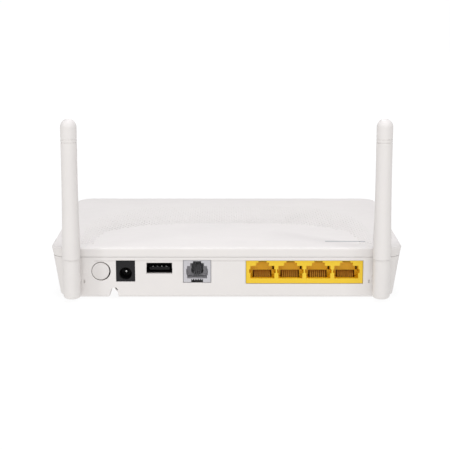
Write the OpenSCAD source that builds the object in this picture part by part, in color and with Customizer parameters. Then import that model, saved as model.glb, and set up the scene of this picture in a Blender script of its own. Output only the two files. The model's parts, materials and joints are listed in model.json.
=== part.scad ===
// Optical network terminal with Wi-Fi: a flat white case whose rear wall carries the
// sockets, and two antennas that tilt on pivots at the rear corners.
// +Z is up, the front with the status lights faces -Y, the sockets face +Y.
// The origin is on the desk, under the centre of the whole object.

/* [Case] */
// Width of the case over the cover's widest line
case_w = 176; // [174:0.5:180]
// Depth of the case from its front to its rear wall
case_d = 138.5; // [136:0.5:142]
// Height of the seam above the case's underside
seam_h = 20.6; // [20.2:0.1:21.4]
// Height of the cover's upper edge above the case's underside
cover_edge_h = 25.2; // [25:0.1:26]
// Rise of the crowned top above the cover's upper edge
crown_h = 1.2; // [0.6:0.1:2]
// Radius of the upright corners at the cover's widest line
corner_r = 9; // [8.5:0.1:10]
// Shadow gap between cover and base
seam_gap = 0.4; // [0.3:0.1:0.8]
// Inward slope of the base's side walls, from seam to underside
side_slope = 3.3; // [2:0.1:3.6]
// Height of the rubber feet below the underside
feet_h = 1.2; // [1:0.1:2]

/* [Vents] */
// Distance between vent holes along X
vent_pitch = 7; // [6.5:0.5:10]
// Width of one diamond-shaped vent hole
vent_w = 3.6; // [2:0.2:4]
// Half width of the smooth dome that the vents surround
dome_half_w = 67; // [60:1:68]
// Depth of the smooth dome, from the rear edge
dome_depth = 56; // [50:1:60]
// Half width of the vent field
field_half_w = 76; // [73:1:77]
// Depth of the vent field, from the rear edge
field_depth = 110; // [100:1:112]

/* [Antennas] */
// Distance of each antenna's axis from the middle of the case
antenna_x = 76.8; // [76:0.1:77.2]
// Height of the antenna tips above the case's underside
antenna_tip_h = 90.3; // [80:0.5:110]
// Distance of the antenna's axis behind the rear wall
antenna_off = 4.75; // [4.7:0.05:5.5]
// Height of the pivot above the underside
pivot_h = 9.6; // [9:0.1:11]
// Radius of the sleeve at its foot
sleeve_foot_r = 4.45; // [4.2:0.05:4.45]
// Radius of the sleeve at its waist
sleeve_waist_r = 3.95; // [3.8:0.05:4]
// Radius of the sleeve at its tip
sleeve_tip_r = 4; // [3.9:0.05:4.2]

/* [Sockets] */
// Number of LAN sockets
lan_count = 4; // [2:1:4]
// Distance between LAN sockets
lan_pitch = 13.97; // [13.97:0.01:14.2]
// Centre of the LAN block along X
lan_x = -38.87; // [-40:0.1:-37]
// Centre of the phone socket along X
phone_x = 14.75; // [14:0.1:16]
// Centre of the USB socket along X
usb_x = 33.6; // [33:0.1:34]
// Centre of the power inlet along X
dc_x = 50.46; // [50:0.1:50.6]
// Centre of the power button along X
power_x = 62.7; // [62:0.1:63]
// Height of the power button's centre above the underside
power_h = 13.25; // [13:0.05:13.5]
// Travel of the power button
power_travel = 1.8; // [1:0.1:2]

/* [Fibre bay] */
// Width of the bay in the underside that takes the fibre plug
bay_w = 26; // [24:0.5:27]
// Length of the bay
bay_l = 54; // [52:0.5:55]
// Centre of the bay along X
bay_x = 59; // [58.5:0.1:59.5]

/* [Hidden] */

$fn = 64;
hull_fn = 32;
eps = 0.01;
left = -1;
right = 1;

// Colours
white = [0.93, 0.92, 0.90];
soft_white = [0.90, 0.89, 0.87];
black = [0.10, 0.10, 0.11];
socket_grey = [0.78, 0.78, 0.79];
port_yellow = [0.95, 0.75, 0.12];
steel = [0.72, 0.73, 0.75];
gold = [0.86, 0.68, 0.30];
board_green = [0.10, 0.35, 0.20];
chip_black = [0.13, 0.13, 0.14];
apc_green = [0.12, 0.55, 0.28];
clear_white = [0.88, 0.92, 0.95];
rubber_grey = [0.45, 0.45, 0.46];
pad_blue = [0.55, 0.60, 0.75];
sleeve_blue = [0.20, 0.22, 0.30];
zirconia = [0.93, 0.93, 0.90];

// Frame: the antennas stand behind the rear wall, so the case is off centre along Y
antenna_reach = antenna_off + sleeve_foot_r;
front_y = -(case_d + antenna_reach) / 2;
rear_y = front_y + case_d;
base_z = feet_h;
seam_z = base_z + seam_h;
base_top_z = seam_z - seam_gap / 2;
cover_low_z = seam_z + seam_gap / 2;
edge_z = base_z + cover_edge_h;
top_z = edge_z + crown_h;

// Walls
base_wall = 2.4;
cover_wall = 1.6;
floor_t = 2;
seam_inset = 0.9;
edge_round = 0.8;
lip_t = 0.7;
lip_h = 1.2;
lip_gap = 0.15;
floor_z = base_z + floor_t;

// Board
pcb_t = 1.6;
pcb_z = floor_z + 3;
pcb_top = pcb_z + pcb_t;
pcb_half_w = 79.5;
pcb_front_gap = 7;
pcb_rear_gap = 3;
pcb_front = front_y + pcb_front_gap;
pcb_rear = rear_y - pcb_rear_gap;

// Screw towers that join base and cover
tower_x = 70;
tower_front_y = front_y + 15;
tower_rear_y = rear_y - 30;
tower_bay_gap = 7;
tower_places = [[-tower_x, tower_front_y], [tower_x, tower_front_y], [-tower_x, tower_rear_y],
    [bay_x - bay_w / 2 - tower_bay_gap, tower_rear_y]];
tower_r = 3.6;
tower_split_z = base_z + 11;
tower_reach = 0.2;
screw_r = 1.4;
screw_shank_l = 11;
screw_hole_r = 1.6;
screw_pilot_r = 1.45;
screw_pilot_depth = 9;
screw_head_r = 2.7;
screw_head_h = 1.9;
screw_drive_r = 1.3;
screw_drive_depth = 1;
screw_well_r = 3;
screw_base_z = base_z + 4.2;

// Board screws
pcb_screw_places = [[-56, front_y + 26], [34, front_y + 26], [-44, -14], [34, -4]];
pcb_post_r = 2.8;
pcb_screw_r = 1.1;
pcb_screw_pilot_r = 1.15;
pcb_screw_head_r = 2.2;
pcb_screw_head_h = 1.2;
pcb_screw_l = 4.2;

// Slots that release the cover's catches
latch_x = 71.1;
latch_w = 0.7;
latch_h = 1.8;
latch_low_z = base_z + 7.15;

// Components on the board: each as [x, y, width, depth, height], or as places and one size
soc_place = [-8, -14];
soc_w = 21;
soc_h = 1.4;
thermal_pad_t = 0.6;
wifi_place = [-50, 6];
can_w = 24;
can_h = 3;
can_t = 0.3;
memories = [[-8, -42, 13, 9, 1.2], [20, -42, 12, 18, 1.1]];
slic = [14, 28, 8, 8, 1];
inductor_places = [[22, 5], [6, 8], [-26, -40]];
inductor_size = [7, 7, 3.5];
crystal_places = [[-28, -14], [-33, 8], [16, -22]];
crystal_size = [5, 3.2, 0.9];
// Capacitors as [x, y, radius, height]
capacitors = [[30, 38, 4, 12], [20, 40, 3.2, 9], [11, 40, 3.2, 9]];

// Feet
foot_r = 6;
foot_sink = 0.6;
foot_x = 72;
foot_places = [for (sx = [-1, 1], y = [front_y + 32, rear_y - 15]) [sx * foot_x, y]];

// Wall-mounting keyholes in the floor
keyhole_spacing = 90;
keyhole_y = front_y + 24;
keyhole_r = 4;
keyhole_slot_r = 2;
keyhole_slot_l = 9;

// Rating label
label_x = [-42, 18];
label_y = [-10, 22];
label_t = 0.15;

// LAN block
lan_w = 58.3;
lan_low_z = base_z + 7;
lan_h = 11.55;
lan_depth = 21;
socket_recess = 0.3;
lan_cavity_w = 12.3;
lan_cavity_low = 2.44;
lan_cavity_h = 6.5;
lan_step_w = 6.4;
lan_step_h = 1.6;
lan_latch_w = 4.05;
lan_latch_h = 0.7;
lan_cavity_depth = 10;
lan_wires = 8;
wire_pitch = 1.02;
wire_t = 0.4;
wire_low = 0.35;
wire_high = 2.6;

// Phone socket
phone_w = 13.7;
phone_low_z = base_z + 7.5;
phone_h = 11.3;
phone_depth = 16;
phone_cavity_w = 10.5;
phone_cavity_low = 1.94;
phone_cavity_h = 6.2;
phone_step_w = 6.8;
phone_step_h = 1.66;
phone_latch_w = 3.75;
phone_latch_h = 1.05;
phone_cavity_depth = 9.5;
phone_wires = 4;
phone_comb_w = 6.2;
phone_comb_low = 0.4;
phone_comb_h = 1.7;
phone_comb_depth = 1.2;
phone_comb_teeth = 5;

// USB socket
usb_w = 12.8;
usb_h = 5.2;
usb_z = base_z + 15;
usb_depth = 13.5;
usb_skin = 0.4;
usb_rear_y = rear_y - base_wall - 0.1;
usb_back_y = usb_rear_y - usb_depth + usb_skin;
tongue_w = 10.3;
tongue_h = 1.6;
tongue_z = usb_z - 1.2;
tongue_l = 11.6;
tongue_root = 1.5;
usb_pin_back = 0.6;
usb_pin_t = 0.25;
usb_pins = 4;
usb_pin_pitch = 2.25;
usb_pin_w = 1;

// Power inlet
dc_w = 9.2;
dc_h = 10.5;
dc_low_z = base_z + 8.1;
dc_depth = 14;
dc_hole_h = 3.9;
dc_hole_r = 3.1;
dc_hole_depth = 10;
dc_recess = 0.2;
dc_pin_r = 1.05;
dc_pin_back = 5.9;
dc_tab_w = 2.4;
dc_tab_t = 0.6;

// Power button and switch
power_z = base_z + power_h;
power_hole_r = 4.8;
power_cap_r = 4.45;
power_cap_l = 4.6;
power_cap_edge = 0.5;
power_socket_r = 1.9;
power_socket_depth = 2.5;
plunger_r = 1.8;
plunger_in = 6;
plunger_end_gap = 0.7;
power_body_w = 8.4;
power_body_d = 10;
power_body_rear = rear_y - 8.2;

// Side buttons, on the left wall
side_btn_z = base_z + 11.8;
side_btn_w = 9;
side_btn_h = 4;
side_btn_out = 0.8;
side_btn_travel = 0.6;
wlan_y = -10;
wps_y = -26;
reset_y = -40;
reset_hole_r = 1;
side_hole_l = 8;
side_btn_gap = 0.2;
side_flange_gap = 0.85;
side_flange_t = 0.8;
side_flange_rim = [1, 0.8];
side_stem_w = 2.4;
switch_w = 6;
switch_h = 7;
switch_d = 3.6;
switch_face_x = -76.2;
switch_plunger_r = 1.6;
switch_plunger_l = 1.4;
switch_plunger_in = 1;

// Antenna pivot and sleeve
pivot_z = base_z + pivot_h;
axis_y = rear_y + antenna_off;
tip_z = base_z + antenna_tip_h;
knuckle_r = 4.25;
knuckle_low_z = base_z + 0.7;
knuckle_gap = 0.35;
boss_r = 3.2;
bore_clear = 0.05;
boss_in = 7;
pivot_pad_r = 5.4;
pivot_pad_t = 1.4;
coax_r = 0.57;
coax_bend = 1.8;
coax_bore_r = 1.1;
spigot_r = 2.9;
spigot_h = 5;
sleeve_mid_r = 4.15;
sleeve_bore_r = 2.95;
sleeve_tip_wall = 3;
sleeve_low_z = seam_z + 0.05;
clip_t = 0.9;
clip_r = 3.9;
clip_arc = 240;
clip_groove_r = 2.6;
clip_gap = 0.15;
clip_y = rear_y - base_wall - pivot_pad_t - clip_gap;
groove_w = 0.5;
groove_depth = 0.25;
groove_low_z = base_z + 78.8;
groove_high_z = base_z + 80.4;
radiator_low_z = base_z + 40;
radiator_split_z = base_z + 60;
radiator_top_z = base_z + 84;
radiator_r = 2;
whip_r = 0.6;

// Fibre bay, adapter and module
bay_rear_y = rear_y - 25;
bay_front_y = bay_rear_y - bay_l;
bay_roof_z = base_z + 12.3;
bay_wall = 1.5;
channel_w = 4.6;
channel_top_z = base_z + 4.4;
channel_roof_t = 0.5;
notch_x = 56.4;
notch_w = 4.4;
notch_h = 5.1;
adapter_w = 12.9;
adapter_h = 9.3;
adapter_l = 24;
adapter_z = base_z + 7;
adapter_wall = 1.4;
adapter_out = 3;
sleeve_l = 12;
ferrule_r = 1.25;
ferrule_wall = 0.4;
plug_body_l = 4.5;
plug_collar_t = 2;
plug_grip = [8, 9, 2];
plug_clear = 0.3;
optics_l = 16;
optics_r = 3.1;
optics_nose_l = 4;
optics_block = [7.2, 7, 6.8];

// Status lights
led_count = 11;
led_pitch = 8;
led_size = [2, 1.6, 1];
led_y = pcb_front + 1.6;
window_w = 5;
window_h = 1.2;
window_z = seam_z + 1.2;
guide_t = 2;
guide_clear = 0.1;

// ---------------------------------------------------------------- shared shapes

// One thin slice of the case: insets are measured from the case's width and depth
module case_slice(z, side, front, rear, r) {
    for (sx = [-1, 1], y = [front_y + front + r, rear_y - rear - r])
        translate([sx * (case_w / 2 - side - r), y, z])
            cylinder(r = r, h = eps, $fn = hull_fn);
}

// Outline of the case, inset evenly
module case_outline(inset) {
    r = corner_r - inset;
    hull()
        for (sx = [-1, 1], y = [front_y + inset + r, rear_y - inset - r])
            translate([sx * (case_w / 2 - inset - r), y])
                circle(r = r, $fn = hull_fn);
}

// Outer form of the base, or with an inset its hollow
module base_form(inset, low_z, high_z) {
    slope_low = seam_inset + side_slope;
    hull() {
        case_slice(low_z, slope_low + 1 + inset, slope_low + 1 + inset, 1 + inset, 6 - inset);
        case_slice(low_z + 1, slope_low + inset, slope_low + inset, inset, 7 - inset);
        case_slice(high_z - eps, seam_inset + inset, seam_inset + inset, inset, 8 - inset);
    }
}

// Outer form of the cover, or with an inset its hollow
module cover_form(inset, low_z) {
    hull() {
        case_slice(low_z, seam_inset + inset, seam_inset + inset, inset, 8 - inset);
        case_slice(edge_z - edge_round - inset, inset, inset, inset, corner_r - inset);
        case_slice(edge_z - inset, edge_round + inset, edge_round + inset, edge_round + inset,
            corner_r - edge_round - inset);
        case_slice(edge_z + crown_h * 0.65 - inset, 24 + inset, 20 + inset, 20 + inset, 30);
        case_slice(top_z - inset - eps, 44 + inset, 38 + inset, 38 + inset, 25);
    }
}

// A tool pointing along +Y, with its start at the origin
module along_y() {
    rotate([-90, 0, 0])
        children();
}

// Two places, evenly about the middle
function around(middle, size) = [middle - size / 2, middle + size / 2];

// Box between two places along each axis
module box_at(x, y, z) {
    translate([x[0], y[0], z[0]])
        cube([x[1] - x[0], y[1] - y[0], z[1] - z[0]]);
}

// Box with its middle at x, its rear face at y and its underside at z
module block(x, y, z, size) {
    translate([x - size[0] / 2, y - size[1], z])
        cube(size);
}

// True where a vent hole lies between the dome and the edge of the vent field
function half_ellipse(x, a, b) = abs(x) < a ? b * sqrt(1 - pow(x / a, 2)) : 0;
function in_vents(x, d) =
    d > half_ellipse(x, dome_half_w, dome_depth) + vent_w
    && d < half_ellipse(x, field_half_w, field_depth) - vent_w / 2
    && d > 12;

// ---------------------------------------------------------------- casing

module vent_holes() {
    row_pitch = vent_pitch * 0.82;
    for (row = [0 : floor(field_depth / row_pitch)])
        for (col = [-ceil(field_half_w / vent_pitch) : ceil(field_half_w / vent_pitch)]) {
            x = (col + (row % 2) / 2) * vent_pitch;
            d = row * row_pitch;
            if (in_vents(x, d))
                translate([x, rear_y - d, seam_z + 2.5])
                    cylinder(d = vent_w, h = 10, $fn = 4);
        }
}

module led_windows(grow = 0) {
    for (i = [0 : led_count - 1]) {
        x = (i - (led_count - 1) / 2) * led_pitch;
        box_at(around(x, window_w + 2 * grow), [front_y - 1, front_y + 4],
            [window_z - grow, window_z + window_h + grow]);
    }
}

module top_cover() {
    color(white)
        difference() {
            union() {
                difference() {
                    cover_form(0, cover_low_z);
                    cover_form(cover_wall, cover_low_z - 3);
                }
                for (p = tower_places)
                    translate([p[0], p[1], tower_split_z])
                        cylinder(r = tower_r, h = edge_z + tower_reach - tower_split_z);
            }
            for (p = tower_places)
                translate([p[0], p[1], tower_split_z - 1])
                    cylinder(r = screw_pilot_r, h = screw_pilot_depth + 1);
            vent_holes();
            led_windows(guide_clear);
        }
}

module rear_windows() {
    gap = 0.2;
    y = [rear_y - base_wall - 1, rear_y + 1];
    box_at(around(lan_x, lan_w + 2 * gap), y, [lan_low_z - gap, lan_low_z + lan_h + gap]);
    box_at(around(phone_x, phone_w + 2 * gap), y, [phone_low_z - gap, phone_low_z + phone_h + gap]);
    box_at(around(usb_x, usb_w), y, around(usb_z, usb_h));
    box_at(around(dc_x, dc_w + 2 * gap), y, [dc_low_z - gap, dc_low_z + dc_h + gap]);
    translate([power_x, rear_y - base_wall - 1, power_z])
        along_y()
            cylinder(r = power_hole_r, h = base_wall + 2);
}

// Slots beside the sockets through which the cover's catches are released
module latch_slots() {
    for (x = [-latch_x, latch_x])
        box_at([x - latch_w / 2, x + latch_w / 2], [rear_y - base_wall - 1, rear_y + 1],
            [latch_low_z, latch_low_z + latch_h]);
}

module fibre_notch() {
    box_at(around(notch_x, notch_w), [rear_y - base_wall - 1, rear_y + 1],
        [base_z - 1, base_z + notch_h - notch_w / 2]);
    translate([notch_x, rear_y - base_wall - 1, base_z + notch_h - notch_w / 2])
        along_y()
            cylinder(d = notch_w, h = base_wall + 2);
}

module bay_hollow() {
    box_at(around(bay_x, bay_w), [bay_front_y, bay_rear_y], [base_z - 1, bay_roof_z]);
    box_at(around(notch_x, channel_w), [bay_rear_y - 1, rear_y - base_wall + eps],
        [base_z - 1, channel_top_z]);
}

module bay_walls() {
    low_z = base_z + 0.5;
    box_at(around(bay_x, bay_w + 2 * bay_wall), [bay_front_y - bay_wall, bay_rear_y + bay_wall],
        [low_z, bay_roof_z + bay_wall]);
    box_at(around(notch_x, channel_w + 2 * bay_wall), [bay_rear_y, rear_y - 1],
        [low_z, channel_top_z + channel_roof_t]);
}

module adapter_cutout() {
    clear = 0.05;
    box_at(around(bay_x, adapter_w + 2 * clear), [bay_front_y - bay_wall - 1, bay_front_y + 1],
        around(adapter_z, adapter_h + 2 * clear));
}

module keyholes() {
    for (sx = [-1, 1])
        translate([sx * keyhole_spacing / 2, keyhole_y, base_z - 1]) {
            cylinder(r = keyhole_r, h = floor_t + 2);
            translate([-keyhole_slot_r, 0, 0])
                cube([2 * keyhole_slot_r, keyhole_slot_l, floor_t + 2]);
            translate([0, keyhole_slot_l, 0])
                cylinder(r = keyhole_slot_r, h = floor_t + 2);
        }
}

module side_button_holes() {
    for (y = [wlan_y, wps_y])
        box_at([-case_w / 2, -case_w / 2 + side_hole_l], around(y, side_btn_w + 2 * side_btn_gap),
            around(side_btn_z, side_btn_h + 2 * side_btn_gap));
    translate([-case_w / 2, reset_y, side_btn_z])
        rotate([0, 90, 0])
            cylinder(r = reset_hole_r, h = side_hole_l);
}

module base_posts() {
    for (p = tower_places)
        translate([p[0], p[1], floor_z - eps])
            cylinder(r = tower_r, h = tower_split_z - floor_z);
    for (p = pcb_screw_places)
        translate([p[0], p[1], floor_z - eps])
            cylinder(r = pcb_post_r, h = pcb_z - floor_z + eps);
    for (sx = [-1, 1])
        translate([sx * antenna_x, rear_y - base_wall - pivot_pad_t, pivot_z])
            along_y()
                cylinder(r = pivot_pad_r, h = pivot_pad_t + 1);
}

module base_lip() {
    lip_inset = seam_inset + cover_wall + lip_gap;
    translate([0, 0, base_top_z - 2])
        linear_extrude(lip_h + 2)
            difference() {
                case_outline(lip_inset);
                case_outline(lip_inset + lip_t);
            }
}

module base_holes() {
    rear_windows();
    latch_slots();
    fibre_notch();
    keyholes();
    side_button_holes();
    for (p = tower_places)
        translate([p[0], p[1], base_z - 1]) {
            cylinder(r = screw_well_r, h = screw_base_z - base_z + 1);
            cylinder(r = screw_hole_r, h = tower_split_z);
        }
    for (p = pcb_screw_places)
        translate([p[0], p[1], floor_z])
            cylinder(r = pcb_screw_pilot_r, h = 4);
    for (p = foot_places)
        translate([p[0], p[1], base_z - 1])
            cylinder(r = foot_r + 0.1, h = foot_sink + 1);
    for (sx = [-1, 1])
        translate([sx * antenna_x, rear_y - base_wall - pivot_pad_t - 1, pivot_z])
            along_y()
                cylinder(r = boss_r + bore_clear, h = base_wall + pivot_pad_t + 2);
}

module base_shell() {
    color(white)
        difference() {
            union() {
                difference() {
                    base_form(0, base_z, base_top_z);
                    base_form(base_wall, floor_z, base_top_z + 1);
                }
                base_lip();
                base_posts();
                bay_walls();
            }
            bay_hollow();
            adapter_cutout();
            base_holes();
        }
}

module rubber_feet() {
    color(rubber_grey)
        for (p = foot_places)
            translate([p[0], p[1], 0])
                cylinder(r = foot_r, h = feet_h + foot_sink);
}

module case_screws() {
    color(steel)
        for (p = tower_places)
            translate([p[0], p[1], screw_base_z]) {
                translate([0, 0, -screw_head_h])
                    difference() {
                        cylinder(r = screw_head_r, h = screw_head_h);
                        translate([0, 0, -eps])
                            cylinder(r = screw_drive_r, h = screw_drive_depth + eps, $fn = 6);
                    }
                cylinder(r = screw_r, h = screw_shank_l);
            }
}

// Blank rating label, stuck on the underside
module rating_label() {
    color(soft_white)
        box_at(label_x, label_y, [base_z - label_t, base_z]);
}

// ---------------------------------------------------------------- lights

module status_leds() {
    color(clear_white)
        for (i = [0 : led_count - 1])
            block((i - (led_count - 1) / 2) * led_pitch, led_y + led_size[1] / 2, pcb_top, led_size);
}

module led_light_guide() {
    tip_y = front_y + 0.7;
    post_rear = led_y + guide_t / 2;
    low_z = pcb_top + led_size[2] + 0.3;
    half_l = (led_count - 1) / 2 * led_pitch;
    color(clear_white) {
        for (i = [0 : led_count - 1]) {
            x = (i - (led_count - 1) / 2) * led_pitch;
            box_at(around(x, guide_t), [post_rear - guide_t, post_rear], [low_z, window_z + window_h]);
            box_at(around(x, window_w), [tip_y, post_rear], [window_z, window_z + window_h]);
        }
        box_at([-half_l, half_l], [post_rear - guide_t, post_rear], [low_z + 3, low_z + 5]);
    }
}

// ---------------------------------------------------------------- power button

module power_button_cap() {
    color(soft_white)
        translate([power_x, rear_y - power_cap_l, power_z])
            along_y()
                difference() {
                    rotate_extrude()
                        polygon([[0, 0], [power_cap_r, 0], [power_cap_r, power_cap_l - power_cap_edge],
                            [power_cap_r - power_cap_edge, power_cap_l], [0, power_cap_l]]);
                    translate([0, 0, -1])
                        cylinder(r = power_socket_r, h = power_socket_depth + 1);
                }
}

module power_switch_plunger() {
    low_y = power_body_rear - plunger_in;
    high_y = rear_y - power_cap_l + power_socket_depth - 0.1;
    color(black)
        translate([power_x, low_y, power_z])
            along_y()
                cylinder(r = plunger_r, h = high_y - low_y);
}

module power_switch_body() {
    bore_l = plunger_in + power_travel + plunger_end_gap;
    color(chip_black)
        difference() {
            block(power_x, power_body_rear, pcb_top,
                [power_body_w, power_body_d, power_z + power_body_w / 2 - pcb_top]);
            translate([power_x, power_body_rear - bore_l, power_z])
                along_y()
                    cylinder(r = plunger_r + 0.1, h = bore_l + 1);
        }
}

// ---------------------------------------------------------------- side buttons

module side_button_cap(y) {
    wall_x = -(case_w / 2 - seam_inset - side_slope * (base_top_z - side_btn_z)
        / (base_top_z - base_z - 1));
    tip_x = wall_x - side_btn_out;
    stem_x = switch_face_x - switch_plunger_l;
    flange_x = wall_x + base_wall + side_flange_gap;
    color(soft_white) {
        box_at([tip_x, flange_x + eps], around(y, side_btn_w), around(side_btn_z, side_btn_h));
        box_at([flange_x, flange_x + side_flange_t], around(y, side_btn_w + 2 * side_flange_rim[0]),
            around(side_btn_z, side_btn_h + 2 * side_flange_rim[1]));
        box_at([flange_x, stem_x], around(y, side_stem_w), around(side_btn_z, side_stem_w));
    }
}

module switch_plunger(y) {
    color(black)
        translate([switch_face_x - switch_plunger_l, y, side_btn_z])
            rotate([0, 90, 0])
                cylinder(r = switch_plunger_r, h = switch_plunger_l + switch_plunger_in);
}

module side_switch_bodies() {
    bore_l = switch_plunger_in + side_btn_travel + 0.4;
    color(steel)
        for (y = [wlan_y, wps_y, reset_y])
            difference() {
                box_at([switch_face_x, switch_face_x + switch_d], around(y, switch_w),
                    [pcb_top, side_btn_z + switch_h / 2]);
                translate([switch_face_x - 1, y, side_btn_z])
                    rotate([0, 90, 0])
                        cylinder(r = switch_plunger_r + 0.1, h = bore_l + 1);
            }
}

// ---------------------------------------------------------------- power inlet

module dc_jack_housing() {
    color(black)
        difference() {
            block(dc_x, rear_y - dc_recess, dc_low_z, [dc_w, dc_depth, dc_h]);
            translate([dc_x, rear_y - dc_recess - dc_hole_depth, dc_low_z + dc_hole_h])
                along_y()
                    cylinder(r = dc_hole_r, h = dc_hole_depth + 1);
        }
}

module dc_jack_pin() {
    color(steel)
        translate([dc_x, rear_y - dc_recess - dc_hole_depth, dc_low_z + dc_hole_h])
            along_y() {
                cylinder(r = dc_pin_r, h = dc_hole_depth - dc_pin_back);
                translate([0, 0, dc_hole_depth - dc_pin_back])
                    sphere(r = dc_pin_r);
            }
}

module dc_jack_terminals() {
    color(steel)
        for (back = [4, 8, 12])
            block(dc_x, rear_y - back, pcb_top, [dc_tab_w, dc_tab_t, dc_low_z - pcb_top]);
}

// ---------------------------------------------------------------- USB socket

module usb_shell() {
    outer_w = usb_w + 2 * usb_skin;
    outer_h = usb_h + 2 * usb_skin;
    color(steel)
        difference() {
            block(usb_x, usb_rear_y, usb_z - outer_h / 2, [outer_w, usb_depth, outer_h]);
            block(usb_x, usb_rear_y + 1, usb_z - usb_h / 2, [usb_w, usb_depth + 1 - usb_skin, usb_h]);
        }
}

module usb_tongue() {
    color(black) {
        block(usb_x, usb_back_y + tongue_l, tongue_z - tongue_h / 2, [tongue_w, tongue_l, tongue_h]);
        block(usb_x, usb_back_y + tongue_root, usb_z - usb_h / 2, [usb_w, tongue_root, usb_h]);
    }
}

module usb_contacts() {
    color(gold)
        for (i = [0 : usb_pins - 1])
            block(usb_x + (i - (usb_pins - 1) / 2) * usb_pin_pitch, usb_back_y + tongue_l - usb_pin_back,
                tongue_z + tongue_h / 2, [usb_pin_w, tongue_l - usb_pin_back - tongue_root, usb_pin_t]);
}

module usb_riser() {
    low = pcb_top;
    high = usb_z - usb_h / 2 - usb_skin;
    color(black)
        block(usb_x, rear_y - base_wall - 1.5, low, [usb_w - 1, usb_depth - 3, high - low]);
}

// ---------------------------------------------------------------- plug sockets

// Mouth of a modular socket: a cavity with two narrower steps for the plug's latch above it
module socket_mouth(x, low_z, low, w, h, step_w, step_h, latch_w, latch_h, depth) {
    y = [rear_y - socket_recess - depth, rear_y + 1];
    step_z = low_z + low + h;
    box_at(around(x, w), y, [low_z + low, step_z]);
    box_at(around(x, step_w), y, [step_z - eps, step_z + step_h]);
    box_at(around(x, latch_w), y, [step_z + step_h - eps, step_z + step_h + latch_h]);
}

// One sprung contact, bent from the back of the cavity down to its floor
module contact_wire(x, low_z, high_z, back_y, mouth_y) {
    knee = 2.5;
    translate([x + wire_t / 2, 0, 0])
        rotate([90, 0, -90])
            linear_extrude(wire_t)
                polygon([[-back_y, high_z], [-back_y - knee, high_z], [-mouth_y, low_z],
                    [-mouth_y, low_z + wire_t], [-back_y - knee, high_z + wire_t],
                    [-back_y, high_z + wire_t]]);
}

function lan_port_x(i) = lan_x + (i - (lan_count - 1) / 2) * lan_pitch;

module lan_jack_block() {
    color(port_yellow)
        difference() {
            block(lan_x, rear_y - socket_recess, lan_low_z, [lan_w, lan_depth, lan_h]);
            for (i = [0 : lan_count - 1])
                socket_mouth(lan_port_x(i), lan_low_z, lan_cavity_low, lan_cavity_w, lan_cavity_h,
                    lan_step_w, lan_step_h, lan_latch_w, lan_latch_h, lan_cavity_depth);
        }
}

module lan_jack_contacts() {
    low = lan_low_z + lan_cavity_low;
    back = rear_y - socket_recess - lan_cavity_depth;
    color(gold)
        for (i = [0 : lan_count - 1], k = [0 : lan_wires - 1])
            contact_wire(lan_port_x(i) + (k - (lan_wires - 1) / 2) * wire_pitch,
                low + wire_low, low + wire_high, back, rear_y - 3);
}

module phone_jack_housing() {
    color(socket_grey)
        difference() {
            block(phone_x, rear_y - socket_recess, phone_low_z, [phone_w, phone_depth, phone_h]);
            socket_mouth(phone_x, phone_low_z, phone_cavity_low, phone_cavity_w, phone_cavity_h,
                phone_step_w, phone_step_h, phone_latch_w, phone_latch_h, phone_cavity_depth);
            for (i = [0 : phone_comb_teeth - 1]) {
                w = phone_comb_w / phone_comb_teeth;
                block(phone_x + (i - (phone_comb_teeth - 1) / 2) * w, rear_y,
                    phone_low_z + phone_comb_low, [w * 0.7, phone_comb_depth, phone_comb_h]);
            }
        }
}

module phone_jack_contacts() {
    low = phone_low_z + phone_cavity_low;
    back = rear_y - socket_recess - phone_cavity_depth;
    color(gold)
        for (k = [0 : phone_wires - 1])
            contact_wire(phone_x + (k - (phone_wires - 1) / 2) * wire_pitch,
                low + wire_low, low + wire_high, back, rear_y - 3);
}

// ---------------------------------------------------------------- board and what is on it

module main_pcb() {
    corner_w = 16;
    corner_d = 13;
    module_w = 10;
    module_d = 22;
    color(board_green)
        difference() {
            box_at([-pcb_half_w, pcb_half_w], [pcb_front, pcb_rear], [pcb_z, pcb_top]);
            for (sx = [-1, 1])
                translate([sx * pcb_half_w - corner_w / 2, pcb_rear - corner_d, pcb_z - 1])
                    cube([corner_w, corner_d + 1, pcb_t + 2]);
            box_at(around(bay_x, bay_w + 2 * bay_wall + 1),
                [bay_front_y - bay_wall - adapter_l, bay_rear_y + bay_wall + 0.5],
                [pcb_z - 1, pcb_top + 1]);
            box_at(around(bay_x, module_w), [bay_front_y - adapter_l - module_d, bay_front_y],
                [pcb_z - 1, pcb_top + 1]);
            for (p = tower_places)
                translate([p[0], p[1], pcb_z - 1])
                    cylinder(r = tower_r + 0.3, h = pcb_t + 2);
            for (p = pcb_screw_places)
                translate([p[0], p[1], pcb_z - 1])
                    cylinder(r = pcb_screw_r + 0.2, h = pcb_t + 2);
        }
}

module pcb_screws() {
    color(steel)
        for (p = pcb_screw_places)
            translate([p[0], p[1], pcb_top]) {
                cylinder(r = pcb_screw_head_r, h = pcb_screw_head_h);
                translate([0, 0, -pcb_screw_l])
                    cylinder(r = pcb_screw_r, h = pcb_screw_l);
            }
}

// A moulded component on the board: c is [x, y, width, depth, height]
module chip(c) {
    color(chip_black)
        block(c[0], c[1] + c[3] / 2, pcb_top, [c[2], c[3], c[4]]);
}

module soc_chip() {
    chip([soc_place[0], soc_place[1], soc_w, soc_w, soc_h]);
}

module thermal_pad() {
    color(pad_blue)
        block(soc_place[0], soc_place[1] + soc_w / 2, pcb_top + soc_h,
            [soc_w, soc_w, thermal_pad_t]);
}

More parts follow.
